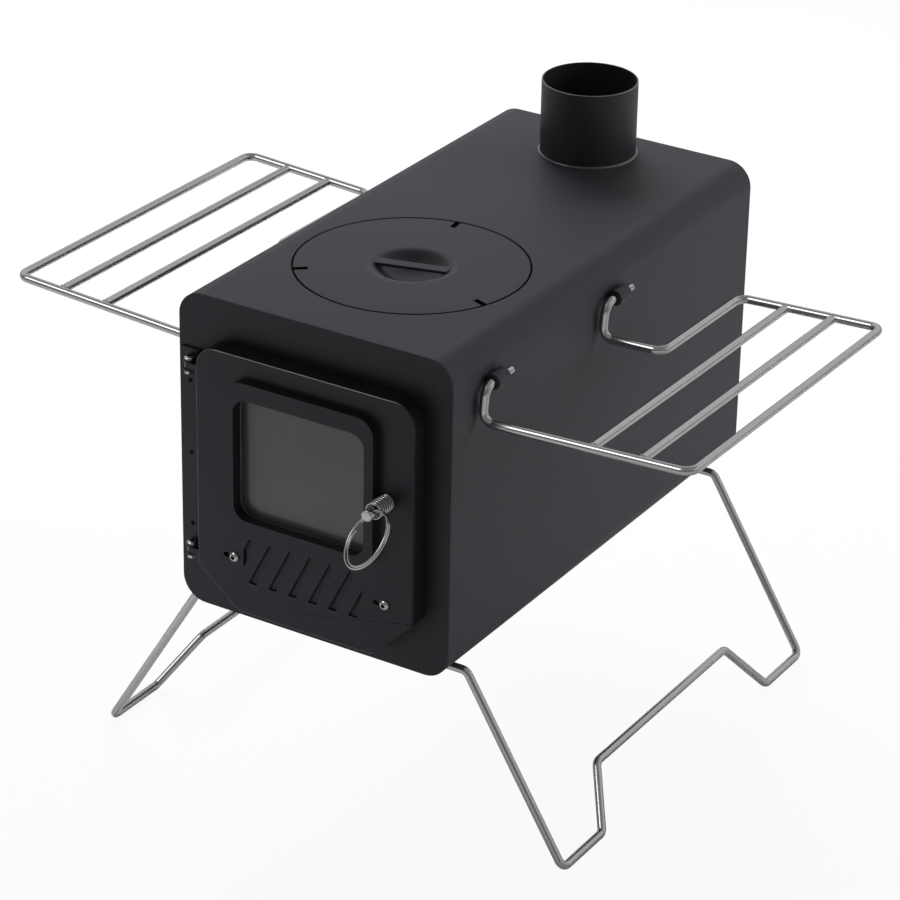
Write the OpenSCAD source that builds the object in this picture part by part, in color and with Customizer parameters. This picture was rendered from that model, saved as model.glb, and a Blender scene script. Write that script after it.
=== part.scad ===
// Folding tent wood stove: a welded sheet-steel firebox with a lift-out hot plate,
// a glazed door with an air vent and a sprung latch, a flue stub,
// two folding wire side shelves and two folding wire legs.
// Millimetres. +Z is up, -Y is the door side, and the ground is at Z = 0.

/* [Firebox] */
// Outside width of the firebox
body_w = 200; // [196:1:230]
// Length of the firebox from the front plate to the rear plate
body_l = 380; // [370:1:460]
// Outside height of the firebox
body_h = 217; // [212:1:260]
// Radius of the four long edges
body_corner_r = 17; // [12:0.5:24]
// Thickness of the steel sheet
sheet = 1.5; // [1.2:0.1:2]
// Height of the underside above the ground
underside_h = 126; // [115:1:140]

/* [Flue stub] */
// Outside diameter of the stub
flue_od = 65.2; // [58:0.1:70]
// Wall of the stub
flue_wall = 1.2; // [1:0.1:1.6]
// Height of the rim above the hot top
flue_h = 51.5; // [35:0.5:70]
// Distance from the rear plate to the middle of the stub
flue_from_rear = 40.4; // [38:0.1:52]
// Middle of the stub, to the left of the middle of the firebox
flue_left = 4.5; // [0:0.5:6]
// Size of the weld bead round the foot
flue_bead = 1.3; // [0.8:0.1:2]
// How far the stub reaches below the top sheet
flue_tail = 2; // [1:0.5:4]

/* [Cook hole and lid] */
// Distance from the hole in the top to each side of the firebox
hole_side = 24.1; // [22:0.1:30]
// Distance from the front plate to the middle of the hole
cook_hole_back = 111; // [100:1:125]
// Gap round the lid
lid_clear = 0.9; // [0.5:0.1:1.5]
// Thickness of the lid
lid_t = 2; // [1.8:0.1:3]
// Length of the three slots in the lid's edge
lid_slot_l = 9.5; // [6:0.5:14]
// Width of the three slots
lid_slot_w = 4; // [2.5:0.1:6]
// Direction of the first slot
lid_slot_turn = 99; // [0:1:119]
// Diameter of the pressed dish
dish_d = 48; // [44:0.5:60]
// Depth of the pressed dish
dish_depth = 11; // [10:0.5:14]
// Width of the strip across the dish
grip_w = 8; // [6:0.5:12]
// Thickness of the strip
grip_t = 2; // [1.5:0.1:2.5]
// Turn of the strip
grip_turn = 15; // [-45:1:45]
// Width of the lip that the lid lies on
seat_lip = 6; // [4:0.5:9]
// Width of the welded part of the seat
seat_flange = 5.5; // [4.5:0.5:6.5]

/* [Door] */
// Half of what the firebox is wider than the door
door_side = 19.5; // [17:0.5:21]
// Height of the door
door_h = 178.5; // [176:0.5:186]
// Depth of the pressed door from its face to the front plate
door_depth = 13; // [12:0.5:16]
// Middle of the door, to the right of the middle of the firebox
door_right = 1.5; // [0:0.5:3]
// Middle of the door below the middle of the firebox
door_drop = 8.75; // [6:0.25:12]
// Radius of the two upper corners
door_corner_r = 15; // [10:0.5:18]
// Radius where a sloping lower corner meets an edge
door_slope_r = 8; // [5:0.5:10]
// Width of the sloping corner at the lower left
slope_left_w = 30.5; // [26:0.5:34]
// Height of the sloping corner at the lower left
slope_left_h = 25; // [22:0.5:27]
// Width of the sloping corner at the lower right
slope_right_w = 30; // [26:0.5:32]
// Height of the sloping corner at the lower right
slope_right_h = 29; // [24:0.5:30]
// How far the door overlaps the opening in the front plate
door_overlap = 10; // [8:0.5:11]

/* [Window] */
// Half of what the door is wider than the raised frame
window_frame_side = 26.5; // [26:0.5:30]
// Height of the raised frame
window_frame_h = 101; // [96:0.5:102]
// Height of the raised frame above the door's face
window_frame_raise = 6; // [4:0.5:8]
// Corner radius of the raised frame
window_frame_r = 12; // [11:0.5:16]
// Middle of the frame, to the right of the middle of the door
window_frame_right = 0.5; // [0:0.5:2]
// Middle of the frame above the middle of the door
window_frame_lift = 24.75; // [23:0.25:26]
// Half of what the raised frame is wider than its opening
window_side = 5.75; // [5.5:0.25:8]
// Height of the opening in the raised frame
window_h = 83.5; // [80:0.5:85]
// Corner radius of the opening
window_r = 10; // [8:0.5:14]
// Middle of the opening, to the left of the middle of the frame
window_left = 0.75; // [0:0.25:2]
// Middle of the opening below the middle of the frame
window_drop = 2.75; // [1:0.25:4]
// Width of the ledge that the door's face leaves round the opening
window_ledge = 0.5; // [0:0.5:4]
// Thickness of the glass
glass_t = 4; // [3:0.5:4]
// How far the glass overlaps the door's face
glass_overlap = 4.5; // [4:0.5:8]
// Thickness of the gasket in front of the glass
gasket_t = 1; // [0.8:0.1:1.5]
// Width of the gasket
gasket_w = 4; // [3:0.5:4]
// How far the retainer reaches past the glass
retainer_rim = 3; // [2:0.5:3]
// Distance of each stud from the middle of the retainer
stud_across = 36; // [28:1:38]

/* [Air vent] */
// Number of sloping slots
vent_count = 7; // [5:1:7]
// Width of a slot
vent_slot_w = 6.1; // [5:0.1:6.1]
// Height of the row of slots
vent_row_h = 31.8; // [28:0.2:32]
// Distance from the row of slots to the level of each side of the door
vent_side = 36; // [34.5:0.5:38.5]
// How far a slot leans over its height
vent_lean = 15.9; // [10:0.1:18]
// Middle of the row below the middle of the door
vent_drop = 51; // [50:0.5:52]
// Middle of the row, to the left of the middle of the door
vent_left = 0.8; // [0:0.1:2]
// Travel of the slider from shut to fully open
vent_open_travel = 6.5; // [6.2:0.1:7]
// Travel of the slider past shut
vent_over_travel = 2.3; // [1:0.1:2.3]
// Distance from the row of slots to each clamp screw
vent_screw_past = 11.7; // [10.5:0.1:12.5]
// Middle of the two clamp screws, to the right of the middle of the row
vent_screw_right = 4.6; // [3:0.1:6]
// Width of the slider beyond each screw
slider_end = 5.6; // [5:0.1:6]
// Height of the slider
slider_h = 35; // [34:0.1:35.4]

/* [Fasteners] */
// Thread diameter of the small screws
screw_d = 3; // [2.5:0.5:3]
// Head diameter of the small screws
screw_head_d = 6.8; // [5:0.1:7]
// Head height of the small screws
screw_head_h = 1.8; // [1.4:0.1:2.2]
// Width across the flats of the key socket
screw_socket = 2; // [1.5:0.1:2.2]
// Width across the flats of the small nuts
nut_flats = 5.5; // [5:0.1:6]
// Height of the small nuts
nut_h = 2.4; // [2:0.1:2.6]

/* [Door hinge] */
// Distance from the door's left edge to the hinge axis
hinge_out = 8.5; // [8:0.1:9]
// Distance from the front plate to the hinge axis
hinge_forward = 7.5; // [7:0.1:8]
// Middle of the upper hinge above the middle of the firebox
hinge_high = 62.8; // [58:0.1:66]
// Middle of the lower hinge below the middle of the firebox
hinge_low = 66.8; // [60:0.1:68]
// Height between the outer faces of a hinge's two lugs
hinge_stack = 7.6; // [7.4:0.1:9]
// Radius of a lug's round end
lug_r = 3.8; // [3.5:0.1:4.2]
// Outside radius of the curled knuckle
knuckle_r = 3.1; // [2.9:0.1:3.5]
// Width of the leaf
leaf_w = 14; // [13:0.5:14]
// How far the leaf reaches past a hinge
leaf_past = 4; // [3:0.5:6]
// Distance of the leaf from the side of the firebox
leaf_edge = 2; // [1:0.5:2.5]
// Distance from rivet to rivet
rivet_pitch = 50.3; // [40:0.1:54]
// Diameter of a rivet's shank
rivet_d = 3; // [2.5:0.1:3.4]
// Depth of a rivet below the leaf's face
rivet_sink = 0.6; // [0.3:0.1:0.9]

/* [Latch] */
// Distance from the latch axis to the door's right edge
latch_edge = 19.6; // [19:0.1:19.9]
// Latch axis above the middle of the door
latch_lift = 20.75; // [15:0.25:26]
// Diameter of the latch pin
latch_d = 7.6; // [7:0.1:8]
// Distance from the door's face to the middle of the cross hole
latch_hole_out = 18; // [17:0.1:20]
// Pin beyond the middle of the cross hole
latch_tip = 5; // [4:0.1:6]
// Diameter of the cross hole
latch_hole_d = 4.2; // [4:0.1:4.4]
// Rounding of the pin's tip
latch_tip_round = 0.5; // [0.3:0.1:0.8]
// Outside diameter of the spring
spring_od = 11.4; // [11:0.1:11.8]
// Wire of the spring
spring_wire = 1.1; // [1:0.05:1.25]
// Curls of the spring
spring_curls = 6.5; // [5:0.5:7]
// Thread diameter at the inner end of the pin
latch_thread_d = 5; // [4:0.5:5]
// Width across the flats of the latch nut
latch_nut_flats = 8; // [7:0.5:8]
// Height of the latch nut
latch_nut_h = 4; // [3:0.5:5]
// Width of the tongue
tongue_w = 10; // [9:0.5:11]
// Length of the tongue from the pin's axis
tongue_l = 20; // [18:0.5:24]
// Gap between the tongue and the front plate
tongue_gap = 0.8; // [0.5:0.1:1.2]

/* [Latch ring] */
// Outside diameter of the split ring
ring_od = 40; // [36:0.5:44]
// Wire of the split ring
ring_wire = 1.5; // [1.3:0.1:1.5]
// Turn of the cross hole about the latch axis
ring_turn = 38; // [0:1:45]
// Forward swing of the ring from hanging
ring_swing = 52; // [20:1:60]

/* [Side shelves] */
// Diameter of the wire of shelves and legs
wire_d = 5.6; // [5:0.1:5.8]
// Shelf hinge axis below the top
shelf_hinge_drop = 24.6; // [23.5:0.1:26]
// Height from the shelf's root up to its hinge axis
shelf_drop = 24; // [22:0.5:26]
// Distance from the front plate to the front arm
shelf_front = 29.5; // [28:0.5:40]
// Distance between the front arm and the short inner arm
shelf_root_span = 145.5; // [135:0.5:150]
// Depth of the right shelf along the firebox
shelf_l = 246.5; // [235:0.5:250]
// How much deeper the left shelf is
shelf_left_more = 9; // [0:0.5:9]
// Distance from the firebox to the outer rail
shelf_reach = 149; // [140:1:160]
// Distance from the firebox to the inner rail
shelf_inner = 47; // [44:0.5:56]
// Distance from the outer rail to the first bar, and from bar to bar
shelf_bar_pitch = 34; // [30:0.5:36]
// Number of bars between the rails
shelf_bars = 2; // [1:1:2]
// Rise of the shelf for each millimetre outwards
shelf_rise_share = 0.05; // [0:0.01:0.08]
// Turn of the shelf from square to the firebox, which the bends of the wire leave
shelf_skew = 0.9; // [0:0.1:1.2]
// Radius of the bends along the wire's middle
shelf_bend = 7.5; // [6:0.5:8]
// Length of a sleeve
sleeve_l = 13; // [11:0.5:20]
// Distance from the front arm to its sleeve's mouth
sleeve_gap = 8; // [8:0.5:12]
// Distance from the inner arm to its sleeve's mouth
sleeve_rear_gap = 11; // [8:0.5:14]
// Outside diameter of a sleeve
sleeve_d = 10.4; // [9.4:0.1:11]
// Width of a sleeve's weld on the firebox
sleeve_weld_w = 6; // [5:0.5:8]
// Wire beyond a sleeve
sleeve_tail = 8.5; // [4:0.5:10]

/* [Legs] */
// Splay of a leg from upright
leg_splay = 31.6; // [26:0.2:34]
// Distance from the middle to the knee of a leg
leg_knee = 99.6; // [97:0.2:101]
// Distance from the middle to a leg's hinge
leg_hinge = 70; // [64:1:74]
// Distance from the front plate to the right leg's front strand
leg_front = 23.5; // [22:0.5:26]
// Distance from the rear plate to the right leg's rear strand
leg_rear = 30.5; // [28:0.5:34]
// How far the left leg reaches past the right one at each end
leg_past = 6.6; // [6:0.2:8]
// Length of a foot along the ground
foot_l = 50; // [44:1:60]
// Length over which the wire climbs from a foot
foot_climb = 26; // [22:1:32]
// Height of the wire between the feet
foot_lift = 33; // [26:0.5:38]
// Radius of the bends along the wire's middle
leg_bend = 6; // [5:0.5:7]
// Length of a clip
clip_l = 20; // [16:0.5:24]
// Distance from a strand to its clip
clip_gap = 9.5; // [9:0.5:12]
// Outside diameter of a clip
clip_d = 8.4; // [8:0.1:9]
// Width of a clip's welded foot
clip_foot_w = 24; // [20:1:28]
// Wire beyond a clip
clip_tail = 4; // [2:0.5:6]

/* [Fire grate] */
// Width of the grate
grate_w = 150; // [130:1:160]
// Length of the grate
grate_l = 300; // [260:1:330]
// Height of the grate
grate_h = 16; // [12:0.5:18]
// Distance from the front plate to the grate
grate_back = 34; // [24:1:40]
// Number of slots in each of the two rows
grate_slots = 11; // [8:1:12]
// Width of a slot
grate_slot_w = 6; // [4:0.5:8]

/* [Clearances] */
// Gap between a piece that moves and what it rests on
rest_gap = 0.3; // [0.25:0.05:0.35]
// Radial gap of a turning fit
run_gap = 0.07; // [0.05:0.01:0.09]
// Gap round a sliding screw
slide_gap = 0.3; // [0.2:0.05:0.35]
// How far a welded end bites
weld_bite = 0.3; // [0.2:0.05:0.5]

/* [Hidden] */
$fn = 48;

// One overrun for every cut
over = body_w / 100;

// Levels and faces of the firebox
top_z = underside_h + body_h;
mid_z = underside_h + body_h / 2;
ring_mid_r = (ring_od - ring_wire) / 2;
ring_pair_share = 0.46;
ring_pair = ring_wire * ring_pair_share;
ring_forward = 2 * ring_mid_r * sin(ring_swing) + ring_pair * cos(ring_swing) + ring_wire / 2;
ring_reach = door_depth + latch_hole_out + ring_forward;
front_y = (ring_reach - body_l) / 2;
rear_y = front_y + body_l;
wire_r = wire_d / 2;
bore_r = wire_r + run_gap;

// Flue and cook hole
flue_r = flue_od / 2;
flue_y = rear_y - flue_from_rear;
hole_r = body_w / 2 - hole_side;
hole_y = front_y + cook_hole_back;
lid_r = hole_r - lid_clear;
dish_r = dish_d / 2;
dish_sphere_r = (dish_r * dish_r + dish_depth * dish_depth) / (2 * dish_depth);
lid_slot_count = 3;

// Door
door_w = body_w - 2 * door_side;
door_x = door_right;
door_z = mid_z - door_drop;
face_y = front_y - door_depth;
door_in_y = face_y + sheet;

// Window
window_frame_w = door_w - 2 * window_frame_side;
window_w = window_frame_w - 2 * window_side;
frame_x = door_x + window_frame_right;
frame_z = door_z + window_frame_lift;
window_x = frame_x - window_left;
window_z = frame_z - window_drop;
glass_y = door_in_y + gasket_t;
retainer_y = glass_y + glass_t;
glass_h = window_h - 2 * window_ledge + 2 * glass_overlap;
stud_rise = (glass_h + nut_flats) / 2;
tab_r = nut_flats / 2 + slide_gap;

// Vent
vent_row_w = door_w - 2 * vent_side;
vent_pitch_share = 0.1685;
vent_pitch = vent_row_w * vent_pitch_share;
vent_screw_span = vent_row_w + 2 * vent_screw_past;
vent_x = door_x - vent_left;
vent_z = door_z - vent_drop;
slider_y = door_in_y + rest_gap;
slider_x = vent_x + vent_screw_right;
screw_r = screw_d / 2;
screw_hole_r = screw_r + run_gap;
vent_screw_xs = [slider_x - vent_screw_span / 2, slider_x + vent_screw_span / 2];

// Hinge
hinge_x = door_x - door_w / 2 - hinge_out;
hinge_y = front_y - hinge_forward;
hinge_zs = [mid_z + hinge_high, mid_z - hinge_low];
leaf_x = leaf_edge - body_w / 2;
leaf_top = mid_z + hinge_high + hinge_stack / 2 + leaf_past;
leaf_bottom = mid_z - hinge_low - hinge_stack / 2 - leaf_past;

// Latch
latch_x = door_x + door_w / 2 - latch_edge;
latch_z = door_z + latch_lift;
latch_r = latch_d / 2;
latch_hole_y = face_y - latch_hole_out;
spring_front_y = latch_hole_y + latch_hole_d / 2 + rest_gap;
tongue_y = front_y + sheet + tongue_gap;
spring_r = (spring_od - spring_wire) / 2;
spring_rings = 8;
spring_sides = 6;

// Shelves, measured from the middle for the right one
shelf_hinge_x = body_w / 2 - rest_gap + sleeve_d / 2;
shelf_root_x = body_w / 2 + rest_gap + wire_r;
shelf_hinge_z = top_z - shelf_hinge_drop;
shelf_root_z = shelf_hinge_z - shelf_drop;
shelf_out_x = body_w / 2 + shelf_reach;
shelf_in_x = body_w / 2 + shelf_inner;
arm_front_y = front_y + shelf_front;
arm_root_y = arm_front_y + shelf_root_span;

// Legs, measured from the middle for the right one
leg_hinge_z = underside_h - rest_gap - wire_r;
leg_front_y = front_y + leg_front;
leg_rear_y = rear_y - leg_rear;

// Directions of the ring: along the cross hole, and from the hole to the ring's middle
ring_axis = [cos(ring_turn), 0, sin(ring_turn)];
ring_down = [sin(ring_turn) * cos(ring_swing), -sin(ring_swing), -cos(ring_turn) * cos(ring_swing)];

// Colours
black_paint = [0.17, 0.17, 0.18];
door_paint = [0.14, 0.14, 0.15];
steel = [0.72, 0.72, 0.73];
zinc = [0.62, 0.63, 0.64];
rope = [0.55, 0.54, 0.5];
smoked = [0.3, 0.29, 0.28, 0.6];

// Directions and frames

function unit(v) = v / norm(v);

function cross_frame(x, y, z, o) = [
    [x.x, y.x, z.x, o.x],
    [x.y, y.y, z.y, o.y],
    [x.z, y.z, z.z, o.z],
    [0, 0, 0, 1]
];

// A direction square to v
function square_to(v) = unit(cross(v, abs(v.z) < 0.9 * norm(v) ? [0, 0, 1] : [1, 0, 0]));

// Straight round rod from a to b
module rod(a, b, r) {
    z = unit(b - a);
    x = square_to(z);
    multmatrix(cross_frame(x, cross(z, x), z, a)) cylinder(h = norm(b - a), r = r);
}

// Bend that joins two straight runs at the corner; it is a hair thicker than they are,
// and they reach a hair into it, so that the three join as one solid
bend_swell = wire_d / 250;
bend_lap = wire_d / 50;

module bend(corner, dir_in, dir_out, bend_r, r) {
    angle = acos(dir_in * dir_out);
    centre = corner + unit(dir_out - dir_in) * bend_r / cos(angle / 2);
    start = corner - dir_in * bend_r * tan(angle / 2);
    x = unit(start - centre);
    multmatrix(cross_frame(x, dir_in, cross(x, dir_in), centre))
        rotate_extrude(angle = angle) translate([bend_r, 0]) circle(r + bend_swell);
}

// Round wire along the points, with the same bend at every corner
module bent_wire(points, bend_r, r) {
    last = len(points) - 1;
    dirs = [for (i = [0:last - 1]) unit(points[i + 1] - points[i])];
    trims = [for (i = [0:last]) i == 0 || i == last ? 0
        : bend_r * tan(acos(dirs[i - 1] * dirs[i]) / 2) - bend_lap];
    for (i = [0:last - 1])
        rod(points[i] + dirs[i] * trims[i], points[i + 1] - dirs[i] * trims[i + 1], r);
    for (i = [1:last - 1])
        bend(points[i], dirs[i - 1], dirs[i], bend_r, r);
}

// Flat outline with each corner rounded by its own radius
module rounded_outline(points, radii) {
    n = len(points);
    arms = [for (i = [0:n - 1])
        [unit(points[(i + n - 1) % n] - points[i]), unit(points[(i + 1) % n] - points[i])]];
    halves = [for (i = [0:n - 1]) acos(arms[i][0] * arms[i][1]) / 2];
    polygon([for (i = [0:n - 1]) each [
        points[i] + arms[i][0] * radii[i] / tan(halves[i]),
        points[i] + arms[i][1] * radii[i] / tan(halves[i])
    ]]);
    for (i = [0:n - 1])
        translate(points[i] + unit(arms[i][0] + arms[i][1]) * radii[i] / sin(halves[i]))
            circle(radii[i]);
}

module rounded_rect(w, h, r) {
    rounded_outline([[-w / 2, -h / 2], [w / 2, -h / 2], [w / 2, h / 2], [-w / 2, h / 2]], [r, r, r, r]);
}

// Slot with round ends along X
module slot_outline(length, w) {
    square([length - w, w], center = true);
    for (side = [-1, 1])
        translate([side * (length - w) / 2, 0]) circle(w / 2);
}

// Stands a flat outline, drawn as X and Z, between y and y + t
module upright(y, t) {
    translate([0, y + t, 0]) rotate([90, 0, 0]) linear_extrude(height = t) children();
}

// Button-head screw along -Z with its head's seat at the origin
module button_screw(length) {
    head_r = screw_head_d / 2;
    dome_r = (head_r * head_r + screw_head_h * screw_head_h) / (2 * screw_head_h);
    difference() {
        union() {
            intersection() {
                cylinder(h = screw_head_h, r = head_r);
                translate([0, 0, screw_head_h - dome_r]) sphere(dome_r);
            }
            translate([0, 0, -length]) cylinder(h = length + screw_head_h / 2, r = screw_r);
        }
        translate([0, 0, screw_head_h / 3])
            cylinder(h = screw_head_h, r = screw_socket / sqrt(3), $fn = 6);
    }
}

// Hexagon nut that lies on the origin
module hex_nut(flats, h, hole_r) {
    difference() {
        cylinder(h = h, r = flats / sqrt(3), $fn = 6);
        translate([0, 0, -over]) cylinder(h = h + 2 * over, r = hole_r);
    }
}

// Firebox

module body_outline(inset) {
    translate([0, mid_z])
        rounded_rect(body_w - 2 * inset, body_h - 2 * inset, body_corner_r - inset);
}

module firebox_shell() {
    color(black_paint) difference() {
        upright(front_y + sheet, body_l - 2 * sheet) difference() {
            body_outline(0);
            body_outline(sheet);
        }
        translate([0, hole_y, top_z - 2 * sheet]) cylinder(h = 4 * sheet, r = hole_r);
        translate([-flue_left, flue_y, top_z - 2 * sheet])
            cylinder(h = 4 * sheet, r = flue_r + run_gap);
    }
}

module front_plate() {
    color(black_paint) upright(front_y, sheet) difference() {
        body_outline(0);
        door_outline(door_overlap);
        for (z = rivet_zs()) translate([rivet_x(), z]) circle(rivet_d / 2 + run_gap);
    }
}

module rear_plate() {
    color(black_paint) upright(rear_y - sheet, sheet) body_outline(0);
}

module flue_stub() {
    color(door_paint) translate([-flue_left, flue_y, top_z]) difference() {
        union() {
            translate([0, 0, -sheet - flue_tail]) cylinder(h = flue_h + sheet + flue_tail, r = flue_r);
            cylinder(h = flue_bead, r1 = flue_r + flue_bead, r2 = flue_r);
        }
        translate([0, 0, -sheet - flue_tail - over])
            cylinder(h = flue_h + sheet + flue_tail + 2 * over, r = flue_r - flue_wall);
    }
}

// Pressed ring under the cook hole, whose inner lip carries the lid
module lid_seat() {
    flange_z = -sheet;
    lip_z = -lid_t - rest_gap;
    step_r = hole_r + sheet;
    color(black_paint) translate([0, hole_y, top_z]) rotate_extrude() polygon([
        [lid_r - seat_lip, lip_z],
        [hole_r, lip_z],
        [step_r, flange_z],
        [step_r + seat_flange, flange_z],
        [step_r + seat_flange, flange_z - sheet],
        [step_r, flange_z - sheet],
        [hole_r, lip_z - sheet],
        [lid_r - seat_lip, lip_z - sheet]
    ]);
}

// Lid, drawn with its top face at Z = 0 about its own middle

module dish_ball(r) {
    translate([0, 0, dish_sphere_r - dish_depth]) sphere(r, $fn = 96);
}

module hot_plate_lid() {
    color(black_paint) translate([0, hole_y, top_z]) difference() {
        union() {
            translate([0, 0, -lid_t]) cylinder(h = lid_t, r = lid_r);
            intersection() {
                dish_ball(dish_sphere_r + lid_t);
                translate([0, 0, -dish_depth - 2 * lid_t])
                    cylinder(h = dish_depth + 1.5 * lid_t, r = dish_r + 2 * lid_t);
            }
        }
        dish_ball(dish_sphere_r);
        for (i = [0:lid_slot_count - 1])
            rotate(lid_slot_turn + i * 360 / lid_slot_count)
                translate([lid_r - lid_slot_l, -lid_slot_w / 2, -2 * lid_t])
                    cube([lid_slot_l + over, lid_slot_w, 3 * lid_t]);
    }
}

// Strip across the dish, welded to the dish's wall at both ends
module lid_grip() {
    color(black_paint) translate([0, hole_y, top_z]) intersection() {
        rotate(grip_turn) translate([-dish_r - over, -grip_w / 2, -grip_t])
            cube([2 * (dish_r + over), grip_w, grip_t]);
        dish_ball(dish_sphere_r + weld_bite);
    }
}

// Door

// Corners of the door drawn in by the inset, from the lower left edge onwards
function slope_share(w, h, inset) = 1 - inset * (w + h - norm([w, h])) / (w * h);

function door_points(inset) =
    let (x0 = door_x - door_w / 2 + inset)
    let (x1 = door_x + door_w / 2 - inset)
    let (z0 = door_z - door_h / 2 + inset)
    let (z1 = door_z + door_h / 2 - inset)
    let (left = slope_share(slope_left_w, slope_left_h, inset))
    let (right = slope_share(slope_right_w, slope_right_h, inset))
    [
        [x0, z0 + slope_left_h * left],
        [x0 + slope_left_w * left, z0],
        [x1 - slope_right_w * right, z0],
        [x1, z0 + slope_right_h * right],
        [x1, z1],
        [x0, z1]
    ];

module door_outline(inset) {
    low_r = max(door_slope_r - inset, sheet);
    top_r = door_corner_r - inset;
    rounded_outline(door_points(inset), [low_r, low_r, low_r, low_r, top_r, top_r]);
}

module window_outline(grow) {
    translate([window_x, window_z])
        rounded_rect(window_w + 2 * grow, window_h + 2 * grow, window_r + grow);
}

module hinge_knuckle(z) {
    h = hinge_stack - 2 * sheet - 2 * rest_gap;
    translate([hinge_x, hinge_y, z - h / 2]) linear_extrude(height = h) difference() {
        union() {
            circle(knuckle_r);
            translate([0, -knuckle_r]) square([hinge_out + sheet / 2, sheet]);
        }
        circle(screw_hole_r);
    }
}

module door_panel() {
    color(door_paint) {
        upright(face_y, sheet) difference() {
            door_outline(0);
            window_outline(-window_ledge);
            vent_slots(0);
            for (x = vent_screw_xs)
                translate([x - (vent_open_travel - vent_over_travel) / 2, vent_z])
                    slot_outline(vent_open_travel + vent_over_travel + screw_d + 2 * slide_gap,
                        screw_d + 2 * slide_gap);
            translate([latch_x, latch_z]) circle(latch_r + run_gap);
        }
        upright(face_y + sheet / 2, door_depth - sheet / 2 - rest_gap) difference() {
            door_outline(0);
            door_outline(sheet);
        }
        for (z = hinge_zs) hinge_knuckle(z);
    }
}

// Pressed channel round the window, open towards the door
module window_frame() {
    color(door_paint) difference() {
        upright(face_y - window_frame_raise, window_frame_raise) difference() {
            translate([frame_x, frame_z]) rounded_rect(window_frame_w, window_frame_h, window_frame_r);
            window_outline(0);
        }
        upright(face_y - window_frame_raise + sheet, window_frame_raise) difference() {
            translate([frame_x, frame_z])
                rounded_rect(window_frame_w - 2 * sheet, window_frame_h - 2 * sheet,
                    window_frame_r - sheet);
            window_outline(sheet);
        }
    }
}

module window_glass() {
    color(smoked) upright(glass_y, glass_t) window_outline(glass_overlap - window_ledge);
}

module glass_gasket() {
    color(rope) upright(door_in_y, gasket_t) difference() {
        window_outline(gasket_w + (glass_overlap - gasket_w) / 2 - window_ledge);
        window_outline((glass_overlap - gasket_w) / 2 - window_ledge);
    }
}

module retainer_places() {
    for (side = [-1, 1])
        for (end = [-1, 1])
            translate([window_x + side * stud_across, window_z + end * stud_rise]) children();
}

module glass_retainer() {
    color(zinc) upright(retainer_y, sheet) difference() {
        union() {
            window_outline(glass_overlap - window_ledge + retainer_rim / 2);
            retainer_places() circle(tab_r);
        }
        window_outline(-window_ledge);
        retainer_places() circle(screw_hole_r);
    }
}

module retainer_studs() {
    color(zinc) upright(door_in_y, gasket_t + glass_t + sheet + nut_h + sheet / 2)
        retainer_places() circle(screw_r);
}

module retainer_nuts() {
    color(steel) upright(retainer_y + sheet, nut_h) retainer_places() difference() {
        circle(nut_flats / sqrt(3), $fn = 6);
        circle(screw_hole_r);
    }
}

// Air vent

// Row of sloping slots, shifted along X and cut off square at both ends of the row
module vent_slots(shift) {
    intersection() {
        translate([vent_x + shift, vent_z]) square([vent_row_w, vent_row_h], center = true);
        for (i = [0:vent_count - 1])
            translate([vent_x + shift + (i - (vent_count - 1) / 2) * vent_pitch, vent_z]) polygon([
                [-(vent_lean + vent_slot_w) / 2, -vent_row_h / 2],
                [-(vent_lean - vent_slot_w) / 2, -vent_row_h / 2],
                [(vent_lean + vent_slot_w) / 2, vent_row_h / 2],
                [(vent_lean - vent_slot_w) / 2, vent_row_h / 2]
            ]);
    }
}

module vent_slider() {
    color(door_paint) upright(slider_y, sheet) difference() {
        translate([slider_x, vent_z])
            square([vent_screw_span + 2 * slider_end, slider_h], center = true);
        vent_slots(vent_open_travel);
        for (x = vent_screw_xs) translate([x, vent_z]) circle(screw_hole_r);
    }
}

module vent_screws() {
    color(steel) for (x = vent_screw_xs)
        translate([x, face_y - rest_gap, vent_z]) rotate([90, 0, 0])
            button_screw(rest_gap + sheet + rest_gap + sheet + nut_h + sheet / 2);
}

module vent_nuts() {
    color(steel) for (x = vent_screw_xs)
        translate([x, slider_y + sheet, vent_z]) rotate([-90, 0, 0])
            hex_nut(nut_flats, nut_h, screw_hole_r);
}

// Door hinge

function rivet_x() = leaf_x + leaf_w / 2;
function rivet_zs() = [for (i = [-1:1]) (leaf_top + leaf_bottom) / 2 + i * rivet_pitch];

module hinge_lug(z) {
    translate([hinge_x, hinge_y, z]) linear_extrude(height = sheet) difference() {
        union() {
            circle(lug_r);
            translate([-lug_r, 0]) square([2 * lug_r, hinge_forward - sheet / 2]);
        }
        circle(screw_hole_r);
    }
}

module hinge_leaf() {
    color(door_paint) {
        upright(front_y - sheet, sheet) difference() {
            translate([leaf_x, leaf_bottom]) square([leaf_w, leaf_top - leaf_bottom]);
            for (z = rivet_zs()) translate([rivet_x(), z]) circle(rivet_d / 2 + run_gap);
        }
        for (z = hinge_zs) {
            hinge_lug(z + hinge_stack / 2 - sheet);
            hinge_lug(z - hinge_stack / 2);
        }
    }
}

module hinge_rivets() {
    color(door_paint) for (z = rivet_zs()) translate([rivet_x(), front_y, z]) rotate([-90, 0, 0]) {
        translate([0, 0, rivet_sink - sheet]) cylinder(h = 2 * sheet, r = rivet_d / 2);
        translate([0, 0, sheet]) cylinder(h = sheet, r1 = rivet_d, r2 = rivet_d * 0.7);
    }
}

module hinge_bolts() {
    color(steel) for (z = hinge_zs)
        translate([hinge_x, hinge_y, z + hinge_stack / 2])
            button_screw(hinge_stack + nut_h + sheet / 2);
}

module hinge_nuts() {
    color(steel) for (z = hinge_zs)
        translate([hinge_x, hinge_y, z - hinge_stack / 2 - nut_h])
            hex_nut(nut_flats, nut_h, screw_hole_r);
}

// Latch

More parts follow.
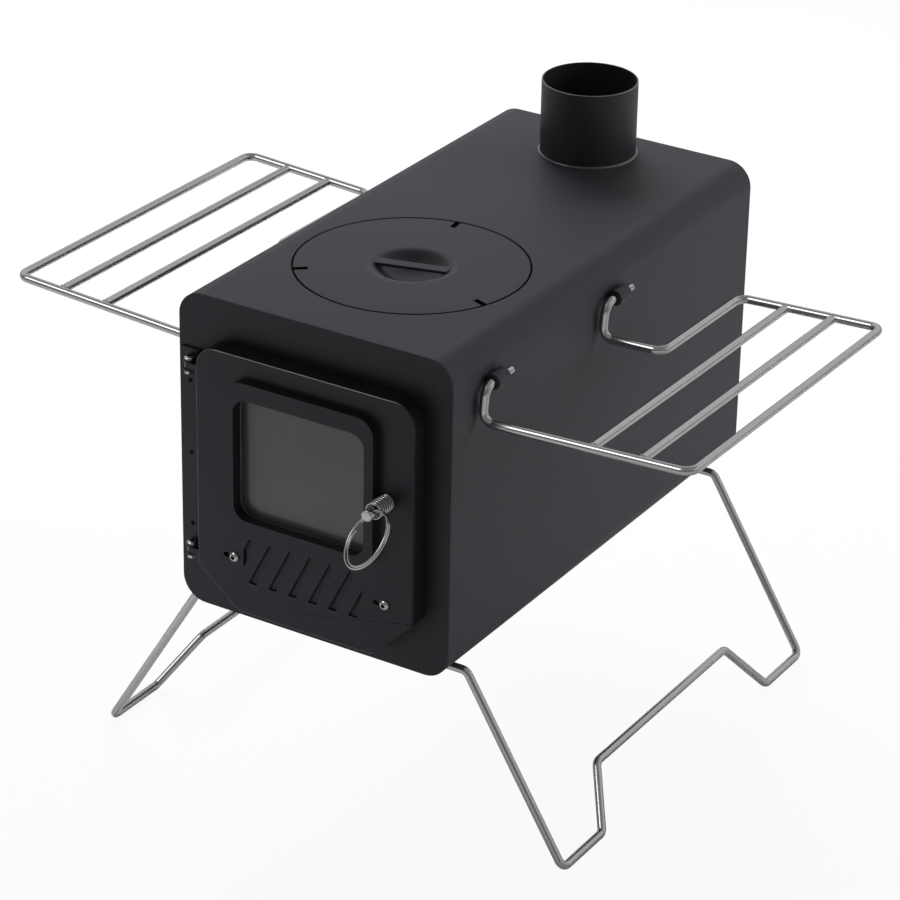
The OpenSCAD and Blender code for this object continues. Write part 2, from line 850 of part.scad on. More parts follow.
module latch_pin() {
    thread_r = latch_thread_d / 2;
    tip_y = latch_hole_y - latch_tip;
    end_y = tongue_y + sheet + latch_nut_h + sheet / 2;
    color(steel) difference() {
        translate([latch_x, tip_y, latch_z]) rotate([-90, 0, 0]) {
            cylinder(h = latch_tip_round, r1 = latch_r - latch_tip_round, r2 = latch_r);
            translate([0, 0, latch_tip_round])
                cylinder(h = tongue_y - tip_y - latch_tip_round, r = latch_r);
            translate([0, 0, tongue_y - tip_y - sheet])
                cylinder(h = end_y - tongue_y + sheet, r = thread_r);
        }
        translate([latch_x, latch_hole_y, latch_z])
            rod(-ring_axis * latch_d, ring_axis * latch_d, latch_hole_d / 2);
    }
}

// Spring of one unbroken wire, whose two ends run straight for one wire's width

spring_l = face_y - rest_gap - spring_front_y;
spring_climb = (spring_l - spring_wire) / spring_curls;
spring_steps = spring_curls * spring_rings;

function spring_middle(i) = [
    spring_r * cos(i * 360 / spring_rings),
    spring_r * sin(i * 360 / spring_rings),
    spring_wire / 2 + spring_climb * i / spring_rings
];

function spring_along(i) = unit([
    -sin(i * 360 / spring_rings),
    cos(i * 360 / spring_rings),
    spring_climb / (2 * PI * spring_r)
]);

function spring_ring(middle, along) =
    let (out = unit([middle.x, middle.y, 0] - along * ([middle.x, middle.y, 0] * along)))
    let (up = cross(along, out))
    [for (k = [0:spring_sides - 1])
        let (turn = k * 360 / spring_sides)
        middle + spring_wire / 2 * (out * cos(turn) + up * sin(turn))];

function flat_along(i) = unit([spring_along(i).x, spring_along(i).y, 0]);

spring_middles = [
    spring_middle(0) - flat_along(0) * spring_wire,
    for (i = [0:spring_steps]) spring_middle(i),
    spring_middle(spring_steps) + flat_along(spring_steps) * spring_wire
];

spring_alongs = [
    flat_along(0),
    for (i = [0:spring_steps]) spring_along(i),
    flat_along(spring_steps)
];

module tube_of_rings(rings, sides) {
    last = len(rings) - 1;
    walls = [for (i = [0:last - 1]) for (k = [0:sides - 1])
        let (a = i * sides + k)
        let (b = i * sides + (k + 1) % sides)
        each [[a, b, b + sides], [a, b + sides, a + sides]]];
    caps = [for (k = [1:sides - 2])
        each [[0, k + 1, k], [last * sides, last * sides + k, last * sides + k + 1]]];
    polyhedron(points = [for (ring = rings) each ring],
        faces = [for (f = concat(walls, caps)) [f[0], f[2], f[1]]]);
}

// Least gap of the spring to itself, from curl to curl
spring_gap = min([for (i = [0:len(spring_middles) - 1])
    for (j = [i + spring_rings - 2:1:len(spring_middles) - 1])
        norm(spring_middles[j] - spring_middles[i])]) - spring_wire;

module latch_spring() {
    echo(spring_least_gap = spring_gap);
    color(steel) translate([latch_x, spring_front_y, latch_z]) rotate([-90, 0, 0])
        tube_of_rings([for (i = [0:len(spring_middles) - 1])
            spring_ring(spring_middles[i], spring_alongs[i])], spring_sides);
}

// Split ring of two turns side by side, which pass through the cross hole
module latch_ring() {
    gap_angle = 12;
    end_angle = 120;
    normal = cross(ring_axis, ring_down);
    middle = [latch_x, latch_hole_y, latch_z] + ring_down * ring_mid_r;
    color(steel) multmatrix(cross_frame(ring_axis, ring_down, normal, middle))
        for (side = [-1, 1])
            rotate(side * end_angle) translate([0, 0, side * ring_pair])
                rotate_extrude(angle = 360 - gap_angle)
                    translate([ring_mid_r, 0]) circle(ring_wire / 2);
}

module latch_tongue() {
    color(zinc) upright(tongue_y, sheet) translate([latch_x, latch_z]) difference() {
        union() {
            circle(tongue_w / 2);
            translate([-tongue_w / 2, -tongue_l]) square([tongue_w, tongue_l]);
        }
        circle(latch_thread_d / 2 + run_gap);
    }
}

module latch_nut() {
    color(steel) translate([latch_x, tongue_y + sheet, latch_z]) rotate([-90, 0, 0])
        hex_nut(latch_nut_flats, latch_nut_h, latch_thread_d / 2 + run_gap);
}

// Side shelves; side is 1 for the right one and -1 for the left one

function shelf_depth(side) = shelf_l + (side > 0 ? 0 : shelf_left_more);

// Point of the shelf's plane at the distance x from the middle and y behind the front arm,
// turned by the skew about the middle of the shelf's depth
function shelf_point(side, x, y) =
    let (out = x - shelf_root_x)
    let (back = y - shelf_depth(side) / 2)
    [
        side * x + back * tan(shelf_skew),
        arm_front_y + y - side * out * tan(shelf_skew),
        shelf_root_z + shelf_rise_share * out
    ];

// Wire from a sleeve down to the arm at y, from its end to the arm's root
function shelf_root(side, y, gap) = [
    [side * shelf_hinge_x, y + gap + sleeve_l + sleeve_tail, shelf_hinge_z],
    [side * shelf_hinge_x, y, shelf_hinge_z],
    [side * shelf_root_x, y, shelf_root_z]
];

module shelf_frame(side) {
    inner_root = shelf_root(side, arm_root_y, sleeve_rear_gap);
    bent_wire([
        each shelf_root(side, arm_front_y, sleeve_gap),
        shelf_point(side, shelf_out_x, 0),
        shelf_point(side, shelf_out_x, shelf_depth(side)),
        shelf_point(side, shelf_in_x, shelf_depth(side)),
        shelf_point(side, shelf_in_x, shelf_root_span),
        inner_root[2],
        inner_root[1],
        inner_root[0]
    ], shelf_bend, wire_r);
}

module shelf_bar_set(side) {
    inset = wire_r - weld_bite;
    for (i = [1:shelf_bars]) {
        x = shelf_out_x - i * shelf_bar_pitch;
        rod(shelf_point(side, x, inset), shelf_point(side, x, shelf_depth(side) - inset), wire_r);
    }
}

// Sleeve with its mouth at y, and its weld on the wall of the firebox
module shelf_sleeve(side, y) {
    wall_x = body_w / 2;
    mirror([side > 0 ? 0 : 1, 0, 0]) difference() {
        intersection() {
            union() {
                rod([shelf_hinge_x, y, shelf_hinge_z], [shelf_hinge_x, y + sleeve_l, shelf_hinge_z],
                    sleeve_d / 2);
                translate([wall_x, y, shelf_hinge_z - sleeve_weld_w / 2])
                    cube([sleeve_d / 4, sleeve_l, sleeve_weld_w]);
            }
            translate([wall_x, y - over, shelf_hinge_z - sleeve_d])
                cube([2 * sleeve_d, sleeve_l + 2 * over, 2 * sleeve_d]);
        }
        rod([shelf_hinge_x, y - over, shelf_hinge_z],
            [shelf_hinge_x, y + sleeve_l + over, shelf_hinge_z], bore_r);
    }
}

module shelf_right_frame() { color(steel) shelf_frame(1); }
module shelf_right_bars() { color(steel) shelf_bar_set(1); }
module shelf_left_frame() { color(steel) shelf_frame(-1); }
module shelf_left_bars() { color(steel) shelf_bar_set(-1); }

module shelf_sleeve_pair(side) {
    shelf_sleeve(side, arm_front_y + sleeve_gap);
    shelf_sleeve(side, arm_root_y + sleeve_rear_gap);
}

module shelf_sleeves_right() { color(black_paint) shelf_sleeve_pair(1); }
module shelf_sleeves_left() { color(black_paint) shelf_sleeve_pair(-1); }

// Legs; the left one reaches past the right one at both ends, so that both fold flat

function leg_x(z) = leg_knee + (leg_hinge_z - z) * tan(leg_splay);

function leg_ends(side) =
    let (past = side > 0 ? 0 : leg_past)
    [leg_front_y - past, leg_rear_y + past];

module leg_wire(side) {
    y0 = leg_ends(side)[0];
    y1 = leg_ends(side)[1];
    tail = clip_gap + clip_l + clip_tail;
    high_z = wire_r + foot_lift;
    bent_wire([
        [side * leg_hinge, y0 + tail, leg_hinge_z],
        [side * leg_hinge, y0, leg_hinge_z],
        [side * leg_knee, y0, leg_hinge_z],
        [side * leg_x(wire_r), y0, wire_r],
        [side * leg_x(wire_r), y0 + foot_l, wire_r],
        [side * leg_x(high_z), y0 + foot_l + foot_climb, high_z],
        [side * leg_x(high_z), y1 - foot_l - foot_climb, high_z],
        [side * leg_x(wire_r), y1 - foot_l, wire_r],
        [side * leg_x(wire_r), y1, wire_r],
        [side * leg_knee, y1, leg_hinge_z],
        [side * leg_hinge, y1, leg_hinge_z],
        [side * leg_hinge, y1 - tail, leg_hinge_z]
    ], leg_bend, wire_r);
}

module leg_right() { color(steel) leg_wire(1); }
module leg_left() { color(steel) leg_wire(-1); }

// Clip under the floor, whose middle is at x and whose front end is at y
module leg_clip(x, y) {
    drop = underside_h - leg_hinge_z;
    difference() {
        union() {
            rod([x, y, leg_hinge_z], [x, y + clip_l, leg_hinge_z], clip_d / 2);
            translate([x - clip_d / 2, y, leg_hinge_z]) cube([clip_d, clip_l, drop]);
            translate([x - clip_foot_w / 2, y, underside_h - sheet])
                cube([clip_foot_w, clip_l, sheet]);
        }
        rod([x, y - over, leg_hinge_z], [x, y + clip_l + over, leg_hinge_z], bore_r);
        translate([x - clip_foot_w, y - over, underside_h])
            cube([2 * clip_foot_w, clip_l + 2 * over, clip_d]);
    }
}

module leg_clips() {
    color(black_paint) for (side = [-1, 1]) {
        leg_clip(side * leg_hinge, leg_ends(side)[0] + clip_gap);
        leg_clip(side * leg_hinge, leg_ends(side)[1] - clip_gap - clip_l);
    }
}

// Fire grate

module fire_grate() {
    floor_z = underside_h + sheet;
    pitch = grate_l / (grate_slots + 1);
    slot_l = (grate_w - 6 * grate_slot_w) / 2;
    color(zinc) translate([0, front_y + grate_back, floor_z]) {
        translate([0, 0, grate_h - sheet]) linear_extrude(height = sheet) difference() {
            translate([-grate_w / 2, 0]) square([grate_w, grate_l]);
            for (side = [-1, 1])
                for (i = [1:grate_slots])
                    translate([side * (slot_l + 2 * grate_slot_w) / 2, i * pitch])
                        slot_outline(slot_l, grate_slot_w);
        }
        for (x = [-grate_w / 2, grate_w / 2 - sheet])
            translate([x, 0, 0]) cube([sheet, grate_l, grate_h - sheet / 2]);
    }
}

firebox_shell();
front_plate();
rear_plate();
flue_stub();
lid_seat();
hot_plate_lid();
lid_grip();
door_panel();
window_frame();
window_glass();
glass_gasket();
glass_retainer();
retainer_studs();
retainer_nuts();
vent_slider();
vent_screws();
vent_nuts();
hinge_leaf();
hinge_rivets();
hinge_bolts();
hinge_nuts();
latch_pin();
latch_spring();
latch_ring();
latch_tongue();
latch_nut();
shelf_right_frame();
shelf_right_bars();
shelf_left_frame();
shelf_left_bars();
shelf_sleeves_right();
shelf_sleeves_left();
leg_right();
leg_left();
leg_clips();
fire_grate();
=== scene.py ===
import math

import bmesh
import bpy
from mathutils import Matrix, Vector


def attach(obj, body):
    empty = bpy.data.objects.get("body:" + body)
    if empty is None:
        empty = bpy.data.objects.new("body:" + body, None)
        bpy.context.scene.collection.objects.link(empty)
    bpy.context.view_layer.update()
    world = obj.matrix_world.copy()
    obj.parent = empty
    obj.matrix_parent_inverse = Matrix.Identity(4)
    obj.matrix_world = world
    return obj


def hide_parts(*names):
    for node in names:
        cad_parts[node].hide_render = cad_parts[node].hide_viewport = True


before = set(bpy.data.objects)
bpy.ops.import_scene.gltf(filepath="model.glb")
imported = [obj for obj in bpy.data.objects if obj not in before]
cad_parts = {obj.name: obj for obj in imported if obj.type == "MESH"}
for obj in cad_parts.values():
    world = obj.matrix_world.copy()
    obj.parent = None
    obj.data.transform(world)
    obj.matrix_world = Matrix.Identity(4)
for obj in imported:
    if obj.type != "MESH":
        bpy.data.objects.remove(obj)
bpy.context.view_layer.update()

# The camera stands in front of the stove, to its right and above it, as in the photograph.
# Its place, turn and lens were worked out from the straight edges of the firebox.
scene = bpy.context.scene
scene.view_settings.view_transform = "Standard"

camera_azimuth = math.radians(31.442)
camera_elevation = math.radians(26.648)
camera_roll = math.radians(1.133)
camera_place = Vector((1.10607, -1.806443, 1.25563))

look_back = Vector((
    math.sin(camera_azimuth) * math.cos(camera_elevation),
    -math.cos(camera_azimuth) * math.cos(camera_elevation),
    math.sin(camera_elevation),
))
level_right = (-look_back).cross(Vector((0, 0, 1))).normalized()
level_up = look_back.cross(level_right)
camera_right = math.cos(camera_roll) * level_right + math.sin(camera_roll) * level_up
camera_up = -math.sin(camera_roll) * level_right + math.cos(camera_roll) * level_up

bpy.ops.object.select_all(action="DESELECT")
bpy.ops.object.camera_add()
camera = bpy.context.object
camera.data.sensor_width = 36
camera.data.lens = 144.287
camera.matrix_world = Matrix.Translation(camera_place) @ Matrix(
    (camera_right, camera_up, look_back)).transposed().to_4x4()
camera.data.clip_start = 0.05
camera.data.clip_end = 60
scene.camera = camera

# The studio floor is plain and white and keeps a faint shadow. It lies just under the feet
# of the stove, and looks darker to polished wire, apart from the bright part in front.
floor_width = 16
floor_below_feet = 0.0003
floor_seen_glow = 0.93
floor_front_glow = 0.34
floor_grey = 0.86
floor_mirrored_grey = 0.5

bpy.ops.object.select_all(action="DESELECT")
bpy.ops.mesh.primitive_plane_add(size=floor_width, location=(0, 0, -floor_below_feet))
floor = bpy.context.object
floor.name = "studio_floor"

floor_look = bpy.data.materials.new("studio white")
floor_look.use_nodes = True
nodes, links = floor_look.node_tree.nodes, floor_look.node_tree.links
nodes.remove(nodes["Principled BSDF"])
floor_white = nodes.new("ShaderNodeBsdfDiffuse")
floor_colour = nodes.new("ShaderNodeMix")
floor_colour.data_type = "RGBA"
floor_colour.inputs[6].default_value = [floor_grey] * 3 + [1]
floor_colour.inputs[7].default_value = [floor_mirrored_grey] * 3 + [1]
floor_glow = nodes.new("ShaderNodeEmission")
floor_glow.inputs["Color"].default_value = (1, 1, 1, 1)
floor_ray = nodes.new("ShaderNodeLightPath")
floor_share = nodes.new("ShaderNodeMath")
floor_share.operation = "MULTIPLY"
floor_share.inputs[1].default_value = floor_seen_glow
floor_mix = nodes.new("ShaderNodeMixShader")
links.new(floor_ray.outputs["Is Glossy Ray"], floor_colour.inputs[0])
links.new(floor_colour.outputs[2], floor_white.inputs["Color"])
links.new(floor_ray.outputs["Is Camera Ray"], floor_share.inputs[0])
floor_place = nodes.new("ShaderNodeTexCoord")
floor_parts = nodes.new("ShaderNodeSeparateXYZ")
in_front = nodes.new("ShaderNodeMapRange")
in_front.inputs["From Min"].default_value = -0.05
in_front.inputs["From Max"].default_value = -0.3
in_front.inputs["To Max"].default_value = floor_front_glow
front_glow = nodes.new("ShaderNodeMath")
front_glow.operation = "MULTIPLY"
glow_share = nodes.new("ShaderNodeMath")
glow_share.operation = "MAXIMUM"
links.new(floor_place.outputs["Object"], floor_parts.inputs[0])
links.new(floor_parts.outputs["Y"], in_front.inputs["Value"])
links.new(in_front.outputs["Result"], front_glow.inputs[0])
links.new(floor_ray.outputs["Is Glossy Ray"], front_glow.inputs[1])
links.new(floor_share.outputs[0], glow_share.inputs[0])
links.new(front_glow.outputs[0], glow_share.inputs[1])
links.new(glow_share.outputs[0], floor_mix.inputs["Fac"])
links.new(floor_white.outputs[0], floor_mix.inputs[1])
links.new(floor_glow.outputs[0], floor_mix.inputs[2])
links.new(floor_mix.outputs[0], nodes["Material Output"].inputs["Surface"])
floor.data.materials.append(floor_look)

# The studio surround is white to the camera and through the glass, and gives a weak fill light
# from level with the floor. Polished wire and painted edges mirror a pale wall behind the
# stove, a darker room in front of it, and one small bright panel in front, above and to the left.
towards_bright_panel = Vector((-0.466, -0.53, 0.7)).normalized()
panel_angle = math.radians(11)
panel_blur_angle = math.radians(16)
panel_strength = 14.0

studio = bpy.data.worlds.new("studio surround")
scene.world = studio
studio.use_nodes = True
nodes, links = studio.node_tree.nodes, studio.node_tree.links
fill_light = nodes["Background"]
fill_light.inputs["Strength"].default_value = 1.0
seen_white = nodes.new("ShaderNodeBackground")
seen_white.inputs["Color"].default_value = (1, 1, 1, 1)
seen_white.inputs["Strength"].default_value = 1.0
mirrored = nodes.new("ShaderNodeBackground")
direction = nodes.new("ShaderNodeTexCoord")
parts = nodes.new("ShaderNodeSeparateXYZ")
links.new(direction.outputs["Generated"], parts.inputs[0])


def height_bands(levels):
    """Grey levels by the height of the direction, from level (0) to straight up (1)."""
    bands = nodes.new("ShaderNodeValToRGB")
    links.new(parts.outputs["Z"], bands.inputs["Fac"])
    for i, (place, level) in enumerate(levels):
        stop = bands.color_ramp.elements[i] if i < 2 else bands.color_ramp.elements.new(place)
        stop.position = place
        stop.color = (level, level, level, 1)
    return bands


wall_behind = height_bands([(0.0, 0.4), (1.0, 0.25), (0.12, 0.42), (0.3, 0.6), (0.62, 0.6),
                            (0.8, 0.3)])
room_in_front = height_bands([(0.0, 0.16), (1.0, 0.25), (0.4, 0.2)])
fill_bands = height_bands([(0.0, 0.17), (1.0, 0.04), (0.35, 0.13), (0.7, 0.05)])
links.new(fill_bands.outputs["Color"], fill_light.inputs["Color"])
from_behind = nodes.new("ShaderNodeMapRange")
from_behind.inputs["From Min"].default_value = -0.3
from_behind.inputs["From Max"].default_value = 0.2
around = nodes.new("ShaderNodeMix")
around.data_type = "RGBA"
links.new(parts.outputs["Y"], from_behind.inputs["Value"])
links.new(from_behind.outputs["Result"], around.inputs[0])
links.new(room_in_front.outputs["Color"], around.inputs[6])
links.new(wall_behind.outputs["Color"], around.inputs[7])
links.new(around.outputs[2], mirrored.inputs["Color"])
towards_panel = nodes.new("ShaderNodeVectorMath")
towards_panel.operation = "DOT_PRODUCT"
towards_panel.inputs[1].default_value = towards_bright_panel
panel = nodes.new("ShaderNodeMapRange")
panel.inputs["From Min"].default_value = math.cos(panel_blur_angle)
panel.inputs["From Max"].default_value = math.cos(panel_angle)
panel.inputs["To Min"].default_value = 1.0
panel.inputs["To Max"].default_value = panel_strength
links.new(direction.outputs["Generated"], towards_panel.inputs[0])
links.new(towards_panel.outputs["Value"], panel.inputs["Value"])
links.new(panel.outputs["Result"], mirrored.inputs["Strength"])
surround_ray = nodes.new("ShaderNodeLightPath")
glossy_mix = nodes.new("ShaderNodeMixShader")
clear_rays = nodes.new("ShaderNodeMath")
clear_rays.operation = "MAXIMUM"
camera_mix = nodes.new("ShaderNodeMixShader")
links.new(surround_ray.outputs["Is Glossy Ray"], glossy_mix.inputs["Fac"])
links.new(fill_light.outputs[0], glossy_mix.inputs[1])
links.new(mirrored.outputs[0], glossy_mix.inputs[2])
links.new(surround_ray.outputs["Is Camera Ray"], clear_rays.inputs[0])
links.new(surround_ray.outputs["Is Transmission Ray"], clear_rays.inputs[1])
links.new(clear_rays.outputs[0], camera_mix.inputs["Fac"])
links.new(glossy_mix.outputs[0], camera_mix.inputs[1])
links.new(seen_white.outputs[0], camera_mix.inputs[2])
links.new(camera_mix.outputs[0], nodes["World Output"].inputs["Surface"])


# Four soft lamps light the top of the stove most and its front least. They show neither in
# polished metal nor in the picture.
def soft_lamp(name, place, target, width, depth, watts):
    """An area lamp that points at the target."""
    bpy.ops.object.select_all(action="DESELECT")
    aim = (Vector(target) - Vector(place)).to_track_quat("-Z", "Y")
    bpy.ops.object.light_add(type="AREA", location=place, rotation=aim.to_euler())
    lamp = bpy.context.object
    lamp.name = name
    lamp.data.shape = "RECTANGLE"
    lamp.data.size = width
    lamp.data.size_y = depth
    lamp.data.energy = watts
    lamp.visible_glossy = False
    lamp.visible_camera = False


soft_lamp("lamp_behind", place=(-0.85, 0.95, 1.05), target=(0, 0.03, 0.3),
          width=0.8, depth=0.8, watts=26)
soft_lamp("lamp_above", place=(0.0, 1.5, 2.3), target=(0, 0, 0.2),
          width=1.6, depth=1.2, watts=8)
soft_lamp("lamp_right", place=(1.7, 1.3, 0.8), target=(0.1, 0.1, 0.25),
          width=1.0, depth=1.2, watts=27)
soft_lamp("lamp_front", place=(-0.38, -0.42, 0.03), target=(0, -0.16, 0.24),
          width=0.7, depth=0.4, watts=1.85)


# The firebox is a sheet-steel tube with four rounded long edges, closed by a front plate and
# a rear plate welded on. All of it has matt black heat-proof paint.
firebox_front = -0.158743
firebox_rear = 0.221257
firebox_top = 0.343
cook_hole_y = -0.047743
cook_hole_radius = 0.0759
cook_hole_edge = 0.0005
plate_edge = 0.0007
# A point this close to a face counts as lying on it
hair = 0.0001
# Beyond these the front plate's edge is its outline; within them it is the door opening
outline_reach = 0.09
outline_top = 0.33
outline_foot = 0.135


def matt_paint(name, colour, roughness, specular):
    """Sprayed paint with a slow drift of colour and gloss, and the fine grain it dries with."""
    look = bpy.data.materials.new(name)
    look.use_nodes = True
    nodes, links = look.node_tree.nodes, look.node_tree.links
    shader = nodes["Principled BSDF"]
    shader.inputs["Specular IOR Level"].default_value = specular
    where = nodes.new("ShaderNodeTexCoord")
    drift = nodes.new("ShaderNodeTexNoise")
    drift.inputs["Scale"].default_value = 9
    drift.inputs["Detail"].default_value = 3
    tint = nodes.new("ShaderNodeMix")
    tint.data_type = "RGBA"
    tint.inputs[6].default_value = [c * 0.9 for c in colour] + [1]
    tint.inputs[7].default_value = [c * 1.1 for c in colour] + [1]
    links.new(where.outputs["Object"], drift.inputs["Vector"])
    links.new(drift.outputs["Fac"], tint.inputs[0])
    links.new(tint.outputs[2], shader.inputs["Base Color"])
    sheen = nodes.new("ShaderNodeMapRange")
    sheen.inputs["To Min"].default_value = roughness - 0.05
    sheen.inputs["To Max"].default_value = roughness + 0.05
    links.new(drift.outputs["Fac"], sheen.inputs["Value"])
    links.new(sheen.outputs["Result"], shader.inputs["Roughness"])
    peel = nodes.new("ShaderNodeTexNoise")
    peel.inputs["Scale"].default_value = 1500
    peel.inputs["Detail"].default_value = 2
    relief = nodes.new("ShaderNodeBump")
    relief.inputs["Strength"].default_value = 0.1
    relief.inputs["Distance"].default_value = 0.0002
    links.new(where.outputs["Object"], peel.inputs["Vector"])
    links.new(peel.outputs["Fac"], relief.inputs["Height"])
    links.new(relief.outputs["Normal"], shader.inputs["Normal"])
    return look


body_paint = matt_paint("matt black firebox paint", (0.040, 0.0415, 0.048),
                        roughness=0.55, specular=0.3)
# The front plate, door, window frame, hinge leaf and vent slider get a darker copy of the firebox
# paint: painted shade on the front, which the lamps light least.
front_shade_paint = matt_paint("matt black paint darkened on the front as painted shade", (0.028, 0.0282, 0.036),
                         roughness=0.42, specular=0.2)
# A lighter, glossier copy of the front paint: a painted highlight on the rounded front edges.
edge_highlight_paint = matt_paint("front paint rubbed along the edges", (0.045, 0.046, 0.05),
                          roughness=0.24, specular=1.0)


def whole_copy(node, name):
    """A copy of the node whose loose triangles are merged into whole faces."""
    bpy.ops.object.select_all(action="DESELECT")
    piece = bpy.data.objects.new(name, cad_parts[node].data.copy())
    scene.collection.objects.link(piece)
    piece.select_set(True)
    bpy.context.view_layer.objects.active = piece
    bpy.ops.mesh.customdata_custom_splitnormals_clear()
    bpy.ops.object.mode_set(mode="EDIT")
    bpy.ops.mesh.select_all(action="SELECT")
    bpy.ops.mesh.remove_doubles(threshold=0.000002)
    bpy.ops.mesh.dissolve_limited(angle_limit=math.radians(0.4))
    bpy.ops.object.mode_set(mode="OBJECT")
    return piece


def round_edges(piece, radius, steps, chosen):
    """Rounds each sharp edge whose middle is chosen."""
    bpy.context.view_layer.objects.active = piece
    bpy.ops.object.mode_set(mode="EDIT")
    bpy.ops.mesh.select_mode(type="EDGE")
    bpy.ops.mesh.select_all(action="DESELECT")
    shape = bmesh.from_edit_mesh(piece.data)
    for edge in shape.edges:
        if len(edge.link_faces) == 2 and edge.calc_face_angle(0) > math.radians(40):
            if chosen((edge.verts[0].co + edge.verts[1].co) / 2):
                edge.select_set(True)
    bmesh.update_edit_mesh(piece.data)
    bpy.ops.mesh.bevel(offset=radius, segments=steps, affect="EDGES", clamp_overlap=True)
    bpy.ops.object.mode_set(mode="OBJECT")


def finish_piece(piece, look, body, slot, *stands_for, angle=40, even=True):
    """Smooth shading, material and what the piece rides on and stands for."""
    bpy.ops.object.select_all(action="DESELECT")
    piece.select_set(True)
    bpy.context.view_layer.objects.active = piece
    bpy.ops.object.shade_smooth_by_angle(angle=math.radians(angle))
    if even:
        shading = piece.modifiers.new("even shading", "WEIGHTED_NORMAL")
        shading.keep_sharp = True
        bpy.ops.object.modifier_apply(modifier=shading.name)
    piece.data.materials.clear()
    piece.data.materials.append(look)
    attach(piece, body)
    if stands_for:
        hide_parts(*stands_for)


def paint_edge_highlights(piece):
    """Gives the rounded edges of the front, apart from those turned to the right, a lighter and
    glossier paint: a painted highlight.
    """
    piece.data.materials.append(edge_highlight_paint)
    for face in piece.data.polygons:
        if -0.95 < face.normal.y < -0.3 and face.normal.x < 0.3:
            face.material_index = 1


shell = whole_copy("firebox_shell", "firebox_tube")
round_edges(shell, cook_hole_edge, 3, lambda p: p.z > firebox_top - hair
            and abs(math.hypot(p.x, p.y - cook_hole_y) - cook_hole_radius) < 0.0005)
finish_piece(shell, body_paint, "stove", "black_paint", "firebox_shell")

front = whole_copy("front_plate", "firebox_front")
round_edges(front, plate_edge, 3, lambda p: p.y < firebox_front + hair
            and (abs(p.x) > outline_reach or p.z > outline_top or p.z < outline_foot))
# The front plate is the same black paint as the tube, but it is darkened here as painted shade.
finish_piece(front, front_shade_paint, "stove", "black_paint", "front_plate")
# Painted highlight on the rounded edges of the front plate.
paint_edge_highlights(front)

rear = whole_copy("rear_plate", "firebox_rear")
round_edges(rear, plate_edge, 3, lambda p: p.y > firebox_rear - hair)
finish_piece(rear, body_paint, "stove", "black_paint", "rear_plate")


# The flue stub is a short steel tube set through the top near the rear, open at both ends.
# It is welded to the top by a bead round its foot, and painted a deeper black. The weld and the
# upward faces of the rim take a much lighter, glossier paint as a painted highlight.
flue_x = -0.0045
flue_y = 0.180857
flue_radius = 0.0326
flue_bore = 0.0314
flue_foot = 0.3395
flue_rim = 0.3945
weld_radius = 0.0012
weld_drops = 46
flue_paint = matt_paint("matt black flue paint", (0.014, 0.0146, 0.0178),
                        roughness=0.5, specular=0.7)
flue_highlight_paint = matt_paint("flue paint lightened at rim and weld as a painted highlight", (0.1, 0.102, 0.108),
                        roughness=0.3, specular=1.0)


def turned_piece(name, outline, sides, place=(0, 0, 0), along=(0, 0, 1), closed=False, spin=0):
    """A piece as from a lathe: rings of the given radius and height, one after the other."""
    bpy.ops.object.select_all(action="DESELECT")
    radius, height = outline[0]
    bpy.ops.mesh.primitive_circle_add(vertices=sides, radius=radius, location=(0, 0, height))
    piece = bpy.context.object
    piece.name = name
    bpy.ops.object.transform_apply(location=True, rotation=True, scale=True)
    bpy.ops.object.mode_set(mode="EDIT")
    bpy.ops.mesh.select_all(action="SELECT")
    for next_radius, next_height in outline[1:]:
        bpy.ops.mesh.extrude_edges_move(
            TRANSFORM_OT_translate={"value": (0, 0, next_height - height)})
        share = next_radius / radius
        bpy.ops.transform.resize(value=(share, share, 1), center_override=(0, 0, next_height))
        radius, height = next_radius, next_height
    bpy.ops.mesh.select_all(action="SELECT")
    if closed:
        bpy.ops.mesh.remove_doubles(threshold=0.000002)
    else:
        bpy.ops.mesh.fill_holes(sides=0)
    bpy.ops.mesh.select_all(action="SELECT")
    bpy.ops.mesh.normals_make_consistent(inside=False)
    bpy.ops.object.mode_set(mode="OBJECT")
    piece.matrix_world = (Matrix.Translation(Vector(place))
                          @ Vector(along).to_track_quat("Z", "Y").to_matrix().to_4x4()
                          @ Matrix.Rotation(spin, 4, "Z"))
    bpy.ops.object.transform_apply(location=True, rotation=True, scale=True)
    return piece


flue = turned_piece("flue_tube", [
    (flue_radius, flue_foot), (flue_radius, firebox_top + 0.001),
    (flue_radius, flue_rim - 0.0004), (flue_radius - 0.0002, flue_rim - 0.0001),
    (flue_radius - 0.0005, flue_rim), (flue_bore + 0.0004, flue_rim),
    (flue_bore + 0.0001, flue_rim - 0.0001), (flue_bore, flue_rim - 0.0004),
    (flue_bore, flue_foot), (flue_radius, flue_foot),
], 96, place=(flue_x, flue_y, 0), closed=True)
finish_piece(flue, flue_paint, "stove", "flue_paint", "flue_stub")
# The upward faces outside the bore get the lighter paint: a painted highlight.
flue.data.materials.append(flue_highlight_paint)
for face in flue.data.polygons:
    outside = math.hypot(face.center.x - flue_x, face.center.y - flue_y) > flue_bore + 0.0005
    if face.normal.z > 0.2 and outside:
        face.material_index = 1

bpy.ops.object.select_all(action="DESELECT")
bpy.ops.mesh.primitive_torus_add(
    location=(flue_x, flue_y, firebox_top + 0.0002), major_segments=192, minor_segments=12,
    major_radius=flue_radius + 0.0003, minor_radius=weld_radius)
flue_bead = bpy.context.object
flue_bead.name = "flue_weld"
bpy.ops.object.transform_apply(location=True, rotation=True, scale=True)
